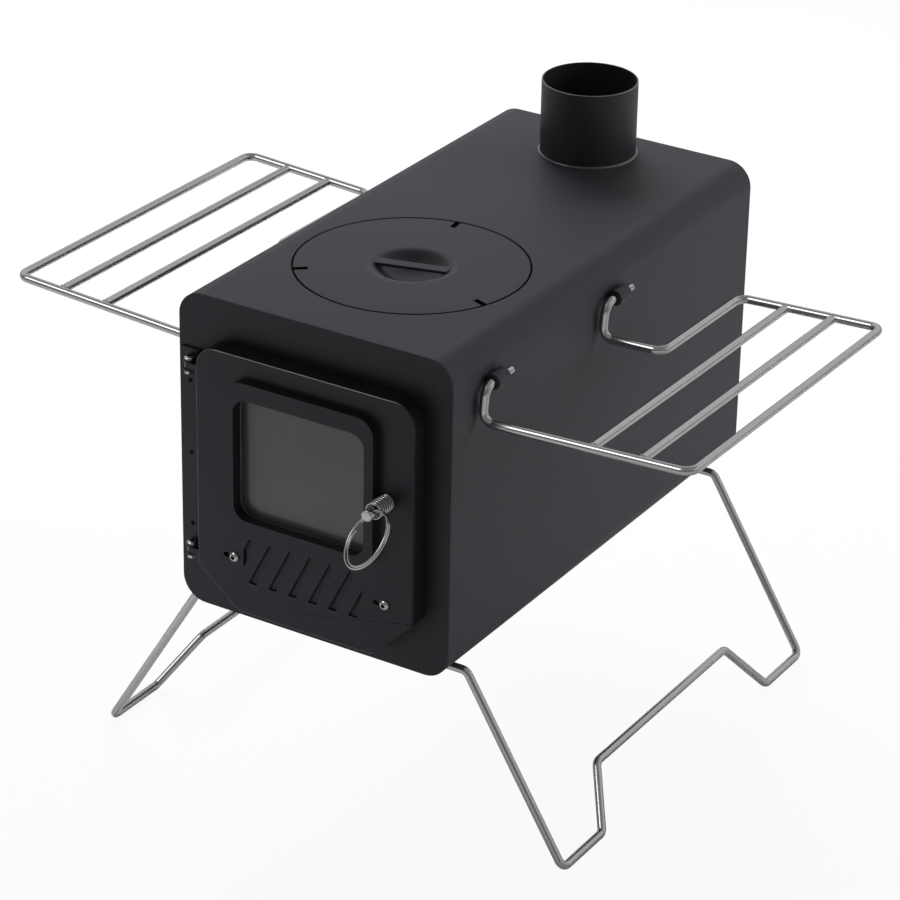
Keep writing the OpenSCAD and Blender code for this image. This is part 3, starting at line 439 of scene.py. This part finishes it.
# The bead swells and thins a little from one drop of weld to the next
for vertex in flue_bead.data.vertices:
    bearing = math.atan2(vertex.co.y - flue_y, vertex.co.x - flue_x)
    swell = 0.00008 * math.sin(bearing * weld_drops) + 0.00005 * math.sin(bearing * 17 + 1)
    outward = math.hypot(vertex.co.x - flue_x, vertex.co.y - flue_y)
    if outward > flue_radius + 0.0004:
        vertex.co.x += math.cos(bearing) * swell
        vertex.co.y += math.sin(bearing) * swell
        vertex.co.z += swell / 2
# The weld bead takes the lighter paint: a painted highlight.
finish_piece(flue_bead, flue_highlight_paint, "stove", "flue_paint", even=False)


# The hot plate is a round lid pressed from 2 mm sheet, with a dish in the middle, a flat strip
# welded across the dish to lift it by, and three slots in its edge. It lies in a pressed seat.
lid_radius = 0.075
lid_thickness = 0.002
lid_slot_length = 0.0115
lid_slot_width = 0.004
lid_slot_middle = lid_radius - 0.00375


def show_node(node, look):
    """The CAD node shows as it is, in this material."""
    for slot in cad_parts[node].material_slots:
        slot.material = look


def cut_away(piece, cutter):
    """Cuts the cutter's shape out of the piece and removes the cutter."""
    bpy.ops.object.select_all(action="DESELECT")
    piece.select_set(True)
    bpy.context.view_layer.objects.active = piece
    cut = piece.modifiers.new("cut", "BOOLEAN")
    cut.operation = "DIFFERENCE"
    cut.object = cutter
    cut.solver = "EXACT"
    bpy.ops.object.modifier_apply(modifier=cut.name)
    bpy.data.objects.remove(cutter)


# Radius and depth below the top, from the flat middle of the dish out to its soft rim
dish_steps = [(0.0006, 0.0108), (0.0030, 0.0108), (0.0060, 0.0105), (0.0090, 0.0099),
              (0.0118, 0.0090), (0.0148, 0.0077), (0.0175, 0.0062), (0.0198, 0.0046),
              (0.0217, 0.0031), (0.0232, 0.0019), (0.0246, 0.0010), (0.0262, 0.0004),
              (0.0280, 0.00008), (0.0300, 0.0)]
lid_rings = [(radius, -depth) for radius, depth in dish_steps]
lid_rings += [(lid_radius - 0.0010, 0), (lid_radius - 0.0005, -0.00012),
              (lid_radius - 0.0002, -0.0004), (lid_radius, -0.0010),
              (lid_radius, 0.0004 - lid_thickness), (lid_radius - 0.0004, -lid_thickness)]
lid_rings += [(radius + 0.0012, -depth - lid_thickness) for radius, depth in reversed(dish_steps)]
lid = turned_piece("hot_plate", lid_rings, 128, place=(0, cook_hole_y, firebox_top))
for i in range(3):
    slot_turn = math.radians(99 + 120 * i)
    bpy.ops.object.select_all(action="DESELECT")
    bpy.ops.mesh.primitive_cube_add(size=1)
    slot_cutter = bpy.context.object
    slot_cutter.matrix_world = (
        Matrix.Translation((0, cook_hole_y, firebox_top))
        @ Matrix.Rotation(slot_turn, 4, "Z")
        @ Matrix.Translation((lid_slot_middle, 0, 0))
        @ Matrix.Diagonal((lid_slot_length, lid_slot_width, 5 * lid_thickness, 1)))
    cut_away(lid, slot_cutter)
finish_piece(lid, body_paint, "lid", "black_paint", "hot_plate_lid", angle=30)
# The upright faces at the lid's edge and in its slots are near-black: painted shade in the gap round
# the lid
gap_shade_black = matt_paint("near-black painted shade round the lid", (0.008, 0.008, 0.008),
                  roughness=0.8, specular=0.1)
lid.data.materials.append(gap_shade_black)
for face in lid.data.polygons:
    from_middle = math.hypot(face.center.x, face.center.y - cook_hole_y)
    if from_middle > lid_radius - lid_slot_length and abs(face.normal.z) < 0.8:
        face.material_index = 1

grip = whole_copy("lid_grip", "hot_plate_strip")
round_edges(grip, 0.0004, 2, lambda p: True)
finish_piece(grip, body_paint, "lid", "black_paint", "lid_grip")

# The seat under the lid is near-black: painted shade seen through the gap.
show_node("lid_seat", gap_shade_black)


# The door is pressed from one sheet with a skirt all round and two sloping lower corners.
# Seven sloping vent slots, two screw slots and the window are cut into its face.
door_face = -0.171743
door_middle_x = 0.0015
door_edge = 0.0011
slot_edge = 0.0002
# What lies beyond these is the door's outline, and not the edge of a slot or of the window
door_side_reach = 0.070
door_outline_top = 0.305
door_slope_top = 0.1668
vent_slots_reach = 0.0465
vent_slots_foot = 0.1575


def on_door_outline(p):
    side = abs(p.x - door_middle_x)
    on_a_slot = side < vent_slots_reach and p.z > vent_slots_foot
    on_a_slope = p.z < door_slope_top and not on_a_slot
    return side > door_side_reach or p.z > door_outline_top or on_a_slope


door = whole_copy("door_panel", "door")
round_edges(door, door_edge, 4, lambda p: p.y < door_face + hair and on_door_outline(p))
round_edges(door, slot_edge, 2, lambda p: p.y < door_face + hair and not on_door_outline(p))
finish_piece(door, front_shade_paint, "door", "door_paint", "door_panel")
# Painted highlight on the rounded edges of the door.
paint_edge_highlights(door)

# The frame round the window is a flat pressing, rounded along its outer and its inner edge
window_frame_face = -0.177743
window_frame_edge = 0.0003
window_middle_x = 0.002
window_middle_z = 0.2505
# The frame's outer edge lies beyond these and its inner edge within them
window_reach_x = 0.0505
window_reach_z = 0.0475


def on_frame_outline(p):
    beside = abs(p.x - window_middle_x) > window_reach_x
    return beside or abs(p.z - window_middle_z) > window_reach_z


window_frame = whole_copy("window_frame", "door_window_frame")
round_edges(window_frame, window_frame_edge, 2,
            lambda p: p.y < window_frame_face + hair and on_frame_outline(p))
round_edges(window_frame, window_frame_edge, 2,
            lambda p: p.y < window_frame_face + hair and not on_frame_outline(p))
finish_piece(window_frame, front_shade_paint, "door", "door_paint", "window_frame")


# The window is a pane of smoked heat-proof glass. It is clamped from behind through a woven
# gasket by a steel retainer on four studs with nuts, which only the open door shows.
glass_look = bpy.data.materials.new("smoked ceramic glass")
glass_look.use_nodes = True
nodes, links = glass_look.node_tree.nodes, glass_look.node_tree.links
shader = nodes["Principled BSDF"]
shader.inputs["Base Color"].default_value = (0.085, 0.0845, 0.0836, 1)
shader.inputs["Transmission Weight"].default_value = 0.12
shader.inputs["IOR"].default_value = 1.5
shader.inputs["Coat Weight"].default_value = 0.3
shader.inputs["Coat Roughness"].default_value = 0.03
where = nodes.new("ShaderNodeTexCoord")
haze = nodes.new("ShaderNodeTexNoise")
haze.inputs["Scale"].default_value = 30
haze.inputs["Detail"].default_value = 4
haze_roughness = nodes.new("ShaderNodeMapRange")
haze_roughness.inputs["To Min"].default_value = 0.2
haze_roughness.inputs["To Max"].default_value = 0.3
links.new(where.outputs["Object"], haze.inputs["Vector"])
links.new(haze.outputs["Fac"], haze_roughness.inputs["Value"])
links.new(haze_roughness.outputs["Result"], shader.inputs["Roughness"])

glass = whole_copy("window_glass", "door_glass")
round_edges(glass, 0.0004, 2, lambda p: True)
finish_piece(glass, glass_look, "door", "smoked_glass", "window_glass")


def metal(name, colour, smooth, rough, grain_scale):
    """Bare metal whose colour and polish vary over a fine grain."""
    look = bpy.data.materials.new(name)
    look.use_nodes = True
    nodes, links = look.node_tree.nodes, look.node_tree.links
    shader = nodes["Principled BSDF"]
    shader.inputs["Metallic"].default_value = 1.0
    where = nodes.new("ShaderNodeTexCoord")
    grain = nodes.new("ShaderNodeTexNoise")
    grain.inputs["Scale"].default_value = grain_scale
    grain.inputs["Detail"].default_value = 3
    tint = nodes.new("ShaderNodeMix")
    tint.data_type = "RGBA"
    tint.inputs[6].default_value = [c * 0.92 for c in colour] + [1]
    tint.inputs[7].default_value = [min(1, c * 1.06) for c in colour] + [1]
    polish = nodes.new("ShaderNodeMapRange")
    polish.inputs["To Min"].default_value = smooth
    polish.inputs["To Max"].default_value = rough
    bump = nodes.new("ShaderNodeBump")
    bump.inputs["Strength"].default_value = 0.05
    bump.inputs["Distance"].default_value = 0.0001
    links.new(where.outputs["Object"], grain.inputs["Vector"])
    links.new(grain.outputs["Fac"], tint.inputs[0])
    links.new(tint.outputs[2], shader.inputs["Base Color"])
    links.new(grain.outputs["Fac"], polish.inputs["Value"])
    links.new(polish.outputs["Result"], shader.inputs["Roughness"])
    links.new(grain.outputs["Fac"], bump.inputs["Height"])
    links.new(bump.outputs["Normal"], shader.inputs["Normal"])
    return look


plain_steel = metal("plain zinc-plated steel", (0.5, 0.51, 0.52),
                    smooth=0.32, rough=0.5, grain_scale=220)
bright_steel = metal("polished stainless steel", (0.6, 0.6, 0.61),
                     smooth=0.13, rough=0.24, grain_scale=260)
# A dark copy of the metal: painted shade in the screw sockets and on the pin inside the spring.
shade_dark_steel = metal("steel darkened as painted shade", (0.05, 0.05, 0.052),
                     smooth=0.35, rough=0.5, grain_scale=260)

gasket_look = bpy.data.materials.new("woven glass-fibre tape")
gasket_look.use_nodes = True
nodes, links = gasket_look.node_tree.nodes, gasket_look.node_tree.links
shader = nodes["Principled BSDF"]
shader.inputs["Roughness"].default_value = 0.9
where = nodes.new("ShaderNodeTexCoord")
weave = nodes.new("ShaderNodeTexWave")
weave.inputs["Scale"].default_value = 420
weave.inputs["Distortion"].default_value = 2
threads = nodes.new("ShaderNodeMix")
threads.data_type = "RGBA"
threads.inputs[6].default_value = (0.36, 0.34, 0.3, 1)
threads.inputs[7].default_value = (0.55, 0.53, 0.48, 1)
relief = nodes.new("ShaderNodeBump")
relief.inputs["Strength"].default_value = 0.5
relief.inputs["Distance"].default_value = 0.0003
links.new(where.outputs["Object"], weave.inputs["Vector"])
links.new(weave.outputs["Fac"], threads.inputs[0])
links.new(threads.outputs[2], shader.inputs["Base Color"])
links.new(weave.outputs["Fac"], relief.inputs["Height"])
links.new(relief.outputs["Normal"], shader.inputs["Normal"])

show_node("glass_gasket", gasket_look)
for node in ("glass_retainer", "retainer_studs"):
    show_node(node, plain_steel)
show_node("retainer_nuts", bright_steel)


# The air vent is a slotted plate that slides behind the door's slots. Two button-head screws
# with key sockets and nuts hold it, and ride in slots of the door.
vent_screw_places = (-0.0509, 0.0615)
vent_screw_height = 0.17475
vent_screw_length = 0.00675
screw_head_radius = 0.0034
screw_radius = 0.0015
socket_radius = 0.0016
socket_floor = 0.0006
socket_brim = 0.00165

show_node("vent_slider", front_shade_paint)
show_node("vent_nuts", bright_steel)


def button_screw(name, seat, out, length, spin=0):
    """A button-head screw whose head stands on the seat and whose shank goes the other way."""
    screw = turned_piece(name, [
        (0.0007, 0.0018), (0.0016, 0.0017), (0.0023, 0.00146), (0.0028, 0.0011),
        (0.00318, 0.00068), (screw_head_radius, 0.0003), (screw_head_radius, 0.00005),
        (screw_head_radius - 0.00008, 0), (screw_radius, 0), (screw_radius, 0.0003 - length),
        (screw_radius - 0.0003, -length),
    ], 32, place=seat, along=out)
    socket = turned_piece("socket cutter", [(socket_radius, socket_floor), (socket_radius, 0.004)], 6,
                          place=seat, along=out, spin=spin)
    cut_away(screw, socket)
    return screw


def shade_socket(screw, seat, out):
    """Darkens the key socket in the head: painted shade in the recess."""
    screw.data.materials.append(shade_dark_steel)
    for face in screw.data.polygons:
        from_seat = face.center - Vector(seat)
        height = from_seat.dot(Vector(out))
        aside = (from_seat - height * Vector(out)).length
        if aside < socket_radius and socket_floor - 0.0001 < height < socket_brim:
            face.material_index = 1


for i, x in enumerate(vent_screw_places):
    screw_seat = (x, door_face - 0.0003, vent_screw_height)
    vent_screw = button_screw(f"vent_screw_{i + 1}", screw_seat, (0, -1, 0), vent_screw_length,
                              spin=0.3 + i)
    stands_for = ("vent_screws",) if i == 0 else ()
    finish_piece(vent_screw, bright_steel, "vent", "bright_steel", *stands_for, even=False)
    shade_socket(vent_screw, screw_seat, (0, -1, 0))


# The door hinges are two lugs on a leaf riveted to the front plate, round a knuckle of the
# door, with a button-head bolt from above and a nut below at each.
hinge_x = -0.0875
hinge_y = -0.166243
hinge_heights = (0.2973, 0.1677)
hinge_half_height = 0.0038
hinge_bolt_length = 0.01075

leaf = whole_copy("hinge_leaf", "hinge_leaf_plate")
round_edges(leaf, 0.00025, 2, lambda p: True)
finish_piece(leaf, front_shade_paint, "stove", "door_paint", "hinge_leaf")
# The rivets are near-black: painted shade in their holes.
show_node("hinge_rivets", gap_shade_black)


def hex_nut(name, seat, out, flats, height, bore, spin=0):
    """A hexagon nut that lies on the seat, with its corners chamfered at the far side."""
    corner = flats / math.sqrt(3)
    nut = turned_piece(name, [(corner, 0), (corner, height)], 6)
    crown = turned_piece("crown", [
        (corner + 0.001, -0.001), (corner + 0.001, height - 0.0009), (flats / 2 - 0.0001, height),
    ], 48)
    bpy.ops.object.select_all(action="DESELECT")
    nut.select_set(True)
    bpy.context.view_layer.objects.active = nut
    chamfer = nut.modifiers.new("chamfer", "BOOLEAN")
    chamfer.operation = "INTERSECT"
    chamfer.object = crown
    bpy.ops.object.modifier_apply(modifier=chamfer.name)
    bpy.data.objects.remove(crown)
    cut_away(nut, turned_piece("bore cutter", [(bore, -0.002), (bore, height + 0.002)], 32))
    nut.matrix_world = (Matrix.Translation(Vector(seat))
                        @ Vector(out).to_track_quat("Z", "Y").to_matrix().to_4x4()
                        @ Matrix.Rotation(spin, 4, "Z"))
    bpy.ops.object.transform_apply(location=True, rotation=True, scale=True)
    return nut


for i, z in enumerate(hinge_heights):
    bolt_seat = (hinge_x, hinge_y, z + hinge_half_height)
    bolt = button_screw(f"hinge_bolt_{i + 1}", bolt_seat, (0, 0, 1), hinge_bolt_length,
                        spin=0.4 * i)
    stands_for = ("hinge_bolts",) if i == 0 else ()
    finish_piece(bolt, bright_steel, "stove", "bright_steel", *stands_for, even=False)
    shade_socket(bolt, bolt_seat, (0, 0, 1))
    nut_seat = (hinge_x, hinge_y, z - hinge_half_height)
    nut = hex_nut(f"hinge_nut_{i + 1}", nut_seat, (0, 0, -1), flats=0.0055, height=0.0024,
                  bore=0.00157, spin=0.5)
    stands_for = ("hinge_nuts",) if i == 0 else ()
    finish_piece(nut, bright_steel, "stove", "bright_steel", *stands_for, even=False)


# The latch is a polished pin through the door, with a spring on it up to its split pull ring.
# A tongue on its inner end turns behind the front plate, and the ring goes through its tip.
latch_x = 0.0624
latch_z = 0.2465
latch_hole = Vector((latch_x, -0.189743, latch_z))
pin_hole_radius = 0.0021
polished_tip_end_y = latch_hole.y + 0.003
ring_turn = math.radians(38)
ring_swing = math.radians(52)
hole_along = Vector((math.cos(ring_turn), 0, math.sin(ring_turn)))
ring_down = Vector((math.sin(ring_turn) * math.cos(ring_swing), -math.sin(ring_swing),
                    -math.cos(ring_turn) * math.cos(ring_swing)))

# Radius and distance behind the door's face, from the tip in front to the threaded end
pin = turned_piece("latch_bolt", [
    (0.0026, -0.02300), (0.0033, -0.02292), (0.0036, -0.02275), (0.0038, -0.0224),
    (0.0038, -0.0160), (0.0038, 0.0153), (0.0025, 0.0153), (0.0025, 0.0212), (0.0022, 0.02155),
], 48, place=(latch_x, door_face, latch_z), along=(0, 1, 0))
hole_cutter = turned_piece("hole cutter", [
    (pin_hole_radius, -0.006), (pin_hole_radius, 0.006),
], 32, place=latch_hole, along=hole_along)
cut_away(pin, hole_cutter)
finish_piece(pin, bright_steel, "latch", "bright_steel", "latch_pin", angle=35, even=False)
# Only the tip in front of the spring is polished; the rest of the pin is darkened as painted shade
# inside the spring
pin.data.materials.append(shade_dark_steel)
for face in pin.data.polygons:
    if face.center.y > polished_tip_end_y:
        face.material_index = 1

show_node("latch_tongue", plain_steel)
show_node("latch_nut", bright_steel)


def wound_wire(name, turn_radius, wire_radius, heights, steps, sides=12):
    """Round wire wound about the Z axis; heights are its levels after each step."""
    bpy.ops.object.select_all(action="DESELECT")
    bpy.ops.mesh.primitive_circle_add(vertices=sides, radius=wire_radius,
                                      location=(turn_radius, 0, heights[0]),
                                      rotation=(math.pi / 2, 0, 0))
    wire = bpy.context.object
    wire.name = name
    bpy.ops.object.transform_apply(location=True, rotation=True, scale=True)
    bpy.ops.object.mode_set(mode="EDIT")
    bpy.ops.mesh.select_all(action="SELECT")
    for before, after in zip(heights, heights[1:]):
        bpy.ops.mesh.extrude_edges_move(
            TRANSFORM_OT_translate={"value": (0, 0, after - before)})
        bpy.ops.transform.rotate(value=2 * math.pi / steps, orient_axis="Z",
                                 center_override=(0, 0, 0))
    bpy.ops.mesh.select_all(action="SELECT")
    bpy.ops.mesh.fill_holes(sides=0)
    bpy.ops.mesh.select_all(action="SELECT")
    bpy.ops.mesh.normals_make_consistent(inside=False)
    bpy.ops.object.mode_set(mode="OBJECT")
    return wire


def place_piece(piece, x_axis, y_axis, z_axis, place):
    """Moves a piece made at the origin to its place, with its axes turned to these."""
    bpy.ops.object.select_all(action="DESELECT")
    piece.select_set(True)
    bpy.context.view_layer.objects.active = piece
    piece.matrix_world = (Matrix.Translation(Vector(place))
                          @ Matrix((x_axis, y_axis, z_axis)).transposed().to_4x4())
    bpy.ops.object.transform_apply(location=True, rotation=True, scale=True)


# The spring's first and last half curl lie flat, and it stands between the door and the ring
spring_length = 0.0153
spring_front_y = -0.187343
spring_wire = 0.0011
spring_turn = 0.00515
spring_steps = 24
spring_curls = 7.5
spring_count = int(spring_curls * spring_steps)
spring_heights = []
for i in range(spring_count + 1):
    climbed = min(max(i / spring_steps - 0.5, 0), spring_curls - 1) / (spring_curls - 1)
    spring_heights.append(spring_wire / 2 + climbed * (spring_length - spring_wire))
spring = wound_wire("latch_coil", spring_turn, spring_wire / 2, spring_heights, spring_steps)
place_piece(spring, Vector((1, 0, 0)), Vector((0, 0, -1)), Vector((0, 1, 0)),
            (latch_x, spring_front_y, latch_z))
finish_piece(spring, bright_steel, "latch", "bright_steel", "latch_spring", even=False)

# The split ring is one wire wound in two turns, and hangs in the pin
ring_radius = 0.01925
ring_wire = 0.0015
ring_steps = 72
ring_start = math.radians(152)
ring_pitch = 0.00138
ring_heights = [ring_pitch * (i / ring_steps - 0.58) for i in range(2 * ring_steps - 2)]
ring_sides = 16
ring = wound_wire("latch_pull_ring", ring_radius, ring_wire / 2, ring_heights, ring_steps,
                  ring_sides)
# The end of the wire is sprung inwards: how far along in steps, and its share of the radius
sprung_places = [(-32, 1.0), (-22, 0.94), (-14, 0.79), (-8, 0.775), (-4, 0.765), (0, 0.67)]


def sprung_share(step):
    """Share of the ring's radius that the wire keeps at this step."""
    from_end = step - (len(ring_heights) - 1)
    for (before, share_before), (after, share_after) in zip(sprung_places, sprung_places[1:]):
        if before <= from_end <= after:
            part = (from_end - before) / (after - before)
            return share_before + part * (share_after - share_before)
    return 1.0


for i, vertex in enumerate(ring.data.vertices):
    step = i // ring_sides
    share = sum(sprung_share(min(step + k, len(ring_heights) - 1)) for k in range(-2, 3)) / 5
    vertex.co.x *= share
    vertex.co.y *= share
ring_middle = latch_hole + ring_down * ring_radius
turned_down = math.cos(ring_start) * ring_down - math.sin(ring_start) * hole_along
turned_side = math.sin(ring_start) * ring_down + math.cos(ring_start) * hole_along
place_piece(ring, turned_down, turned_side, turned_down.cross(turned_side), ring_middle)
finish_piece(ring, bright_steel, "ring", "bright_steel", "latch_ring", even=False)


# Each side shelf is one polished wire bent to a frame, with two straight bars welded in. Its
# ends turn in two black sleeves welded to the side of the firebox.
wire_radius = 0.0028
shelf_hinge_x = 0.1049
shelf_hinge_z = 0.3184
shelf_root_x = 0.1031
shelf_root_z = 0.2944
shelf_out_x = 0.249
shelf_in_x = 0.147
shelf_bar_pitch = 0.034
bar_inset = 0.0025
shelf_skew = math.tan(math.radians(0.9))
shelf_rise = 0.05
shelf_bend = 0.0075
arm_front_y = -0.129243
arm_front_end_y = -0.099743
arm_root_y = 0.016257
arm_root_end_y = 0.048757
right_shelf_depth = 0.2465
left_shelf_depth = 0.2555
# The weld swells each end of a bar a little
weld_swell = 0.0002
weld_length = 0.0020
sleeve_inner_x = 0.1004


def bent_wire(name, points, bend):
    """Round wire through the points, extruded along each run and spun round each corner."""
    points = [Vector(p) for p in points]
    runs = [(b - a).normalized() for a, b in zip(points, points[1:])]
    bpy.ops.object.select_all(action="DESELECT")
    bpy.ops.mesh.primitive_circle_add(vertices=24, radius=wire_radius, location=points[0],
                                      rotation=runs[0].to_track_quat("Z", "Y").to_euler())
    wire = bpy.context.object
    wire.name = name
    bpy.ops.object.transform_apply(location=True, rotation=True, scale=True)
    bpy.ops.object.mode_set(mode="EDIT")
    bpy.ops.mesh.select_all(action="SELECT")
    here = points[0]
    for i, run in enumerate(runs):
        last = i == len(runs) - 1
        if not last:
            turn = run.angle(runs[i + 1])
            trim = bend * math.tan(turn / 2)
        target = points[i + 1] - (Vector() if last else run * trim)
        bpy.ops.mesh.extrude_edges_move(TRANSFORM_OT_translate={"value": target - here})
        here = target
        if not last:
            axis = run.cross(runs[i + 1]).normalized()
            centre = here + axis.cross(run) * bend
            bpy.ops.mesh.spin(steps=max(4, round(math.degrees(turn) / 9)), angle=-turn,
                              center=centre, axis=axis)
            here = points[i + 1] + runs[i + 1] * trim
    bpy.ops.mesh.select_all(action="SELECT")
    bpy.ops.mesh.fill_holes(sides=0)
    bpy.ops.mesh.select_all(action="SELECT")
    bpy.ops.mesh.normals_make_consistent(inside=False)
    bpy.ops.object.mode_set(mode="OBJECT")
    round_edges(wire, 0.0004, 2, lambda p: True)
    return wire


def shelf_point(side, depth, x, y):
    """Point of the shelf at x from the middle and y behind its front arm, a little askew."""
    return Vector((side * x + (y - depth / 2) * shelf_skew,
                   arm_front_y + y - side * (x - shelf_root_x) * shelf_skew,
                   shelf_root_z + shelf_rise * (x - shelf_root_x)))


for side, word, depth in ((1, "right", right_shelf_depth), (-1, "left", left_shelf_depth)):
    hinge = side * shelf_hinge_x
    shelf = bent_wire(f"shelf_wire_{word}", [
        (hinge, arm_front_end_y, shelf_hinge_z),
        (hinge, arm_front_y, shelf_hinge_z),
        (side * shelf_root_x, arm_front_y, shelf_root_z),
        shelf_point(side, depth, shelf_out_x, 0),
        shelf_point(side, depth, shelf_out_x, depth),
        shelf_point(side, depth, shelf_in_x, depth),
        shelf_point(side, depth, shelf_in_x, arm_root_y - arm_front_y),
        (side * shelf_root_x, arm_root_y, shelf_root_z),
        (hinge, arm_root_y, shelf_hinge_z),
        (hinge, arm_root_end_y, shelf_hinge_z),
    ], shelf_bend)
    finish_piece(shelf, bright_steel, f"shelf_{word}", "bright_steel", f"shelf_{word}_frame",
                 even=False)
    for i in (1, 2):
        x = shelf_out_x - i * shelf_bar_pitch
        bar_start = shelf_point(side, depth, x, bar_inset)
        bar_end = shelf_point(side, depth, x, depth - bar_inset)
        bar_length = (bar_end - bar_start).length
        bar = turned_piece(f"shelf_bar_{word}_{i}", [
            (wire_radius - weld_swell, 0), (wire_radius + weld_swell, weld_length / 4),
            (wire_radius, weld_length), (wire_radius, bar_length - weld_length),
            (wire_radius + weld_swell, bar_length - weld_length / 4),
            (wire_radius - weld_swell, bar_length),
        ], 24, place=bar_start, along=bar_end - bar_start)
        stands_for = (f"shelf_{word}_bars",) if i == 1 else ()
        finish_piece(bar, bright_steel, f"shelf_{word}", "bright_steel", *stands_for, even=False)
    sleeves = whole_copy(f"shelf_sleeves_{word}", f"sleeves_{word}")
    round_edges(sleeves, 0.0003, 2, lambda p: abs(p.x) > sleeve_inner_x)
    finish_piece(sleeves, body_paint, "stove", "black_paint", f"shelf_sleeves_{word}")


# Each leg is one polished wire with two feet and a raised run between them. Its ends turn in
# clips welded under the firebox, so that the legs fold flat against the floor of the firebox.
leg_hinge_x = 0.070
leg_hinge_z = 0.1229
leg_knee_x = 0.0996
leg_front_y = -0.135243
leg_rear_y = 0.190757
leg_past = 0.0066
leg_tail = 0.0335
foot_length = 0.050
foot_climb = 0.026
foot_lift = 0.0358
leg_bend = 0.006
leg_slope = math.tan(math.radians(31.6))
clip_top_z = 0.1259


def leg_out(z):
    """How far from the middle the leg's wire is at this height."""
    return leg_knee_x + (leg_hinge_z - z) * leg_slope


for side, word, past in ((1, "right", 0), (-1, "left", leg_past)):
    y0, y1 = leg_front_y - past, leg_rear_y + past
    foot_x, lift_x = side * leg_out(wire_radius), side * leg_out(foot_lift)
    leg = bent_wire(f"leg_wire_{word}", [
        (side * leg_hinge_x, y0 + leg_tail, leg_hinge_z),
        (side * leg_hinge_x, y0, leg_hinge_z),
        (side * leg_knee_x, y0, leg_hinge_z),
        (foot_x, y0, wire_radius),
        (foot_x, y0 + foot_length, wire_radius),
        (lift_x, y0 + foot_length + foot_climb, foot_lift),
        (lift_x, y1 - foot_length - foot_climb, foot_lift),
        (foot_x, y1 - foot_length, wire_radius),
        (foot_x, y1, wire_radius),
        (side * leg_knee_x, y1, leg_hinge_z),
        (side * leg_hinge_x, y1, leg_hinge_z),
        (side * leg_hinge_x, y1 - leg_tail, leg_hinge_z),
    ], leg_bend)
    finish_piece(leg, bright_steel, f"{word}_leg", "bright_steel", f"leg_{word}", even=False)

clips = whole_copy("leg_clips", "leg_wire_clips")
round_edges(clips, 0.0003, 2, lambda p: p.z < clip_top_z)
finish_piece(clips, body_paint, "stove", "black_paint", "leg_clips")


# The fire grate is a slotted plate of plain steel with a flange down each side. It lies loose
# on the floor of the firebox, and only shows through the open door.
show_node("fire_grate", plain_steel)
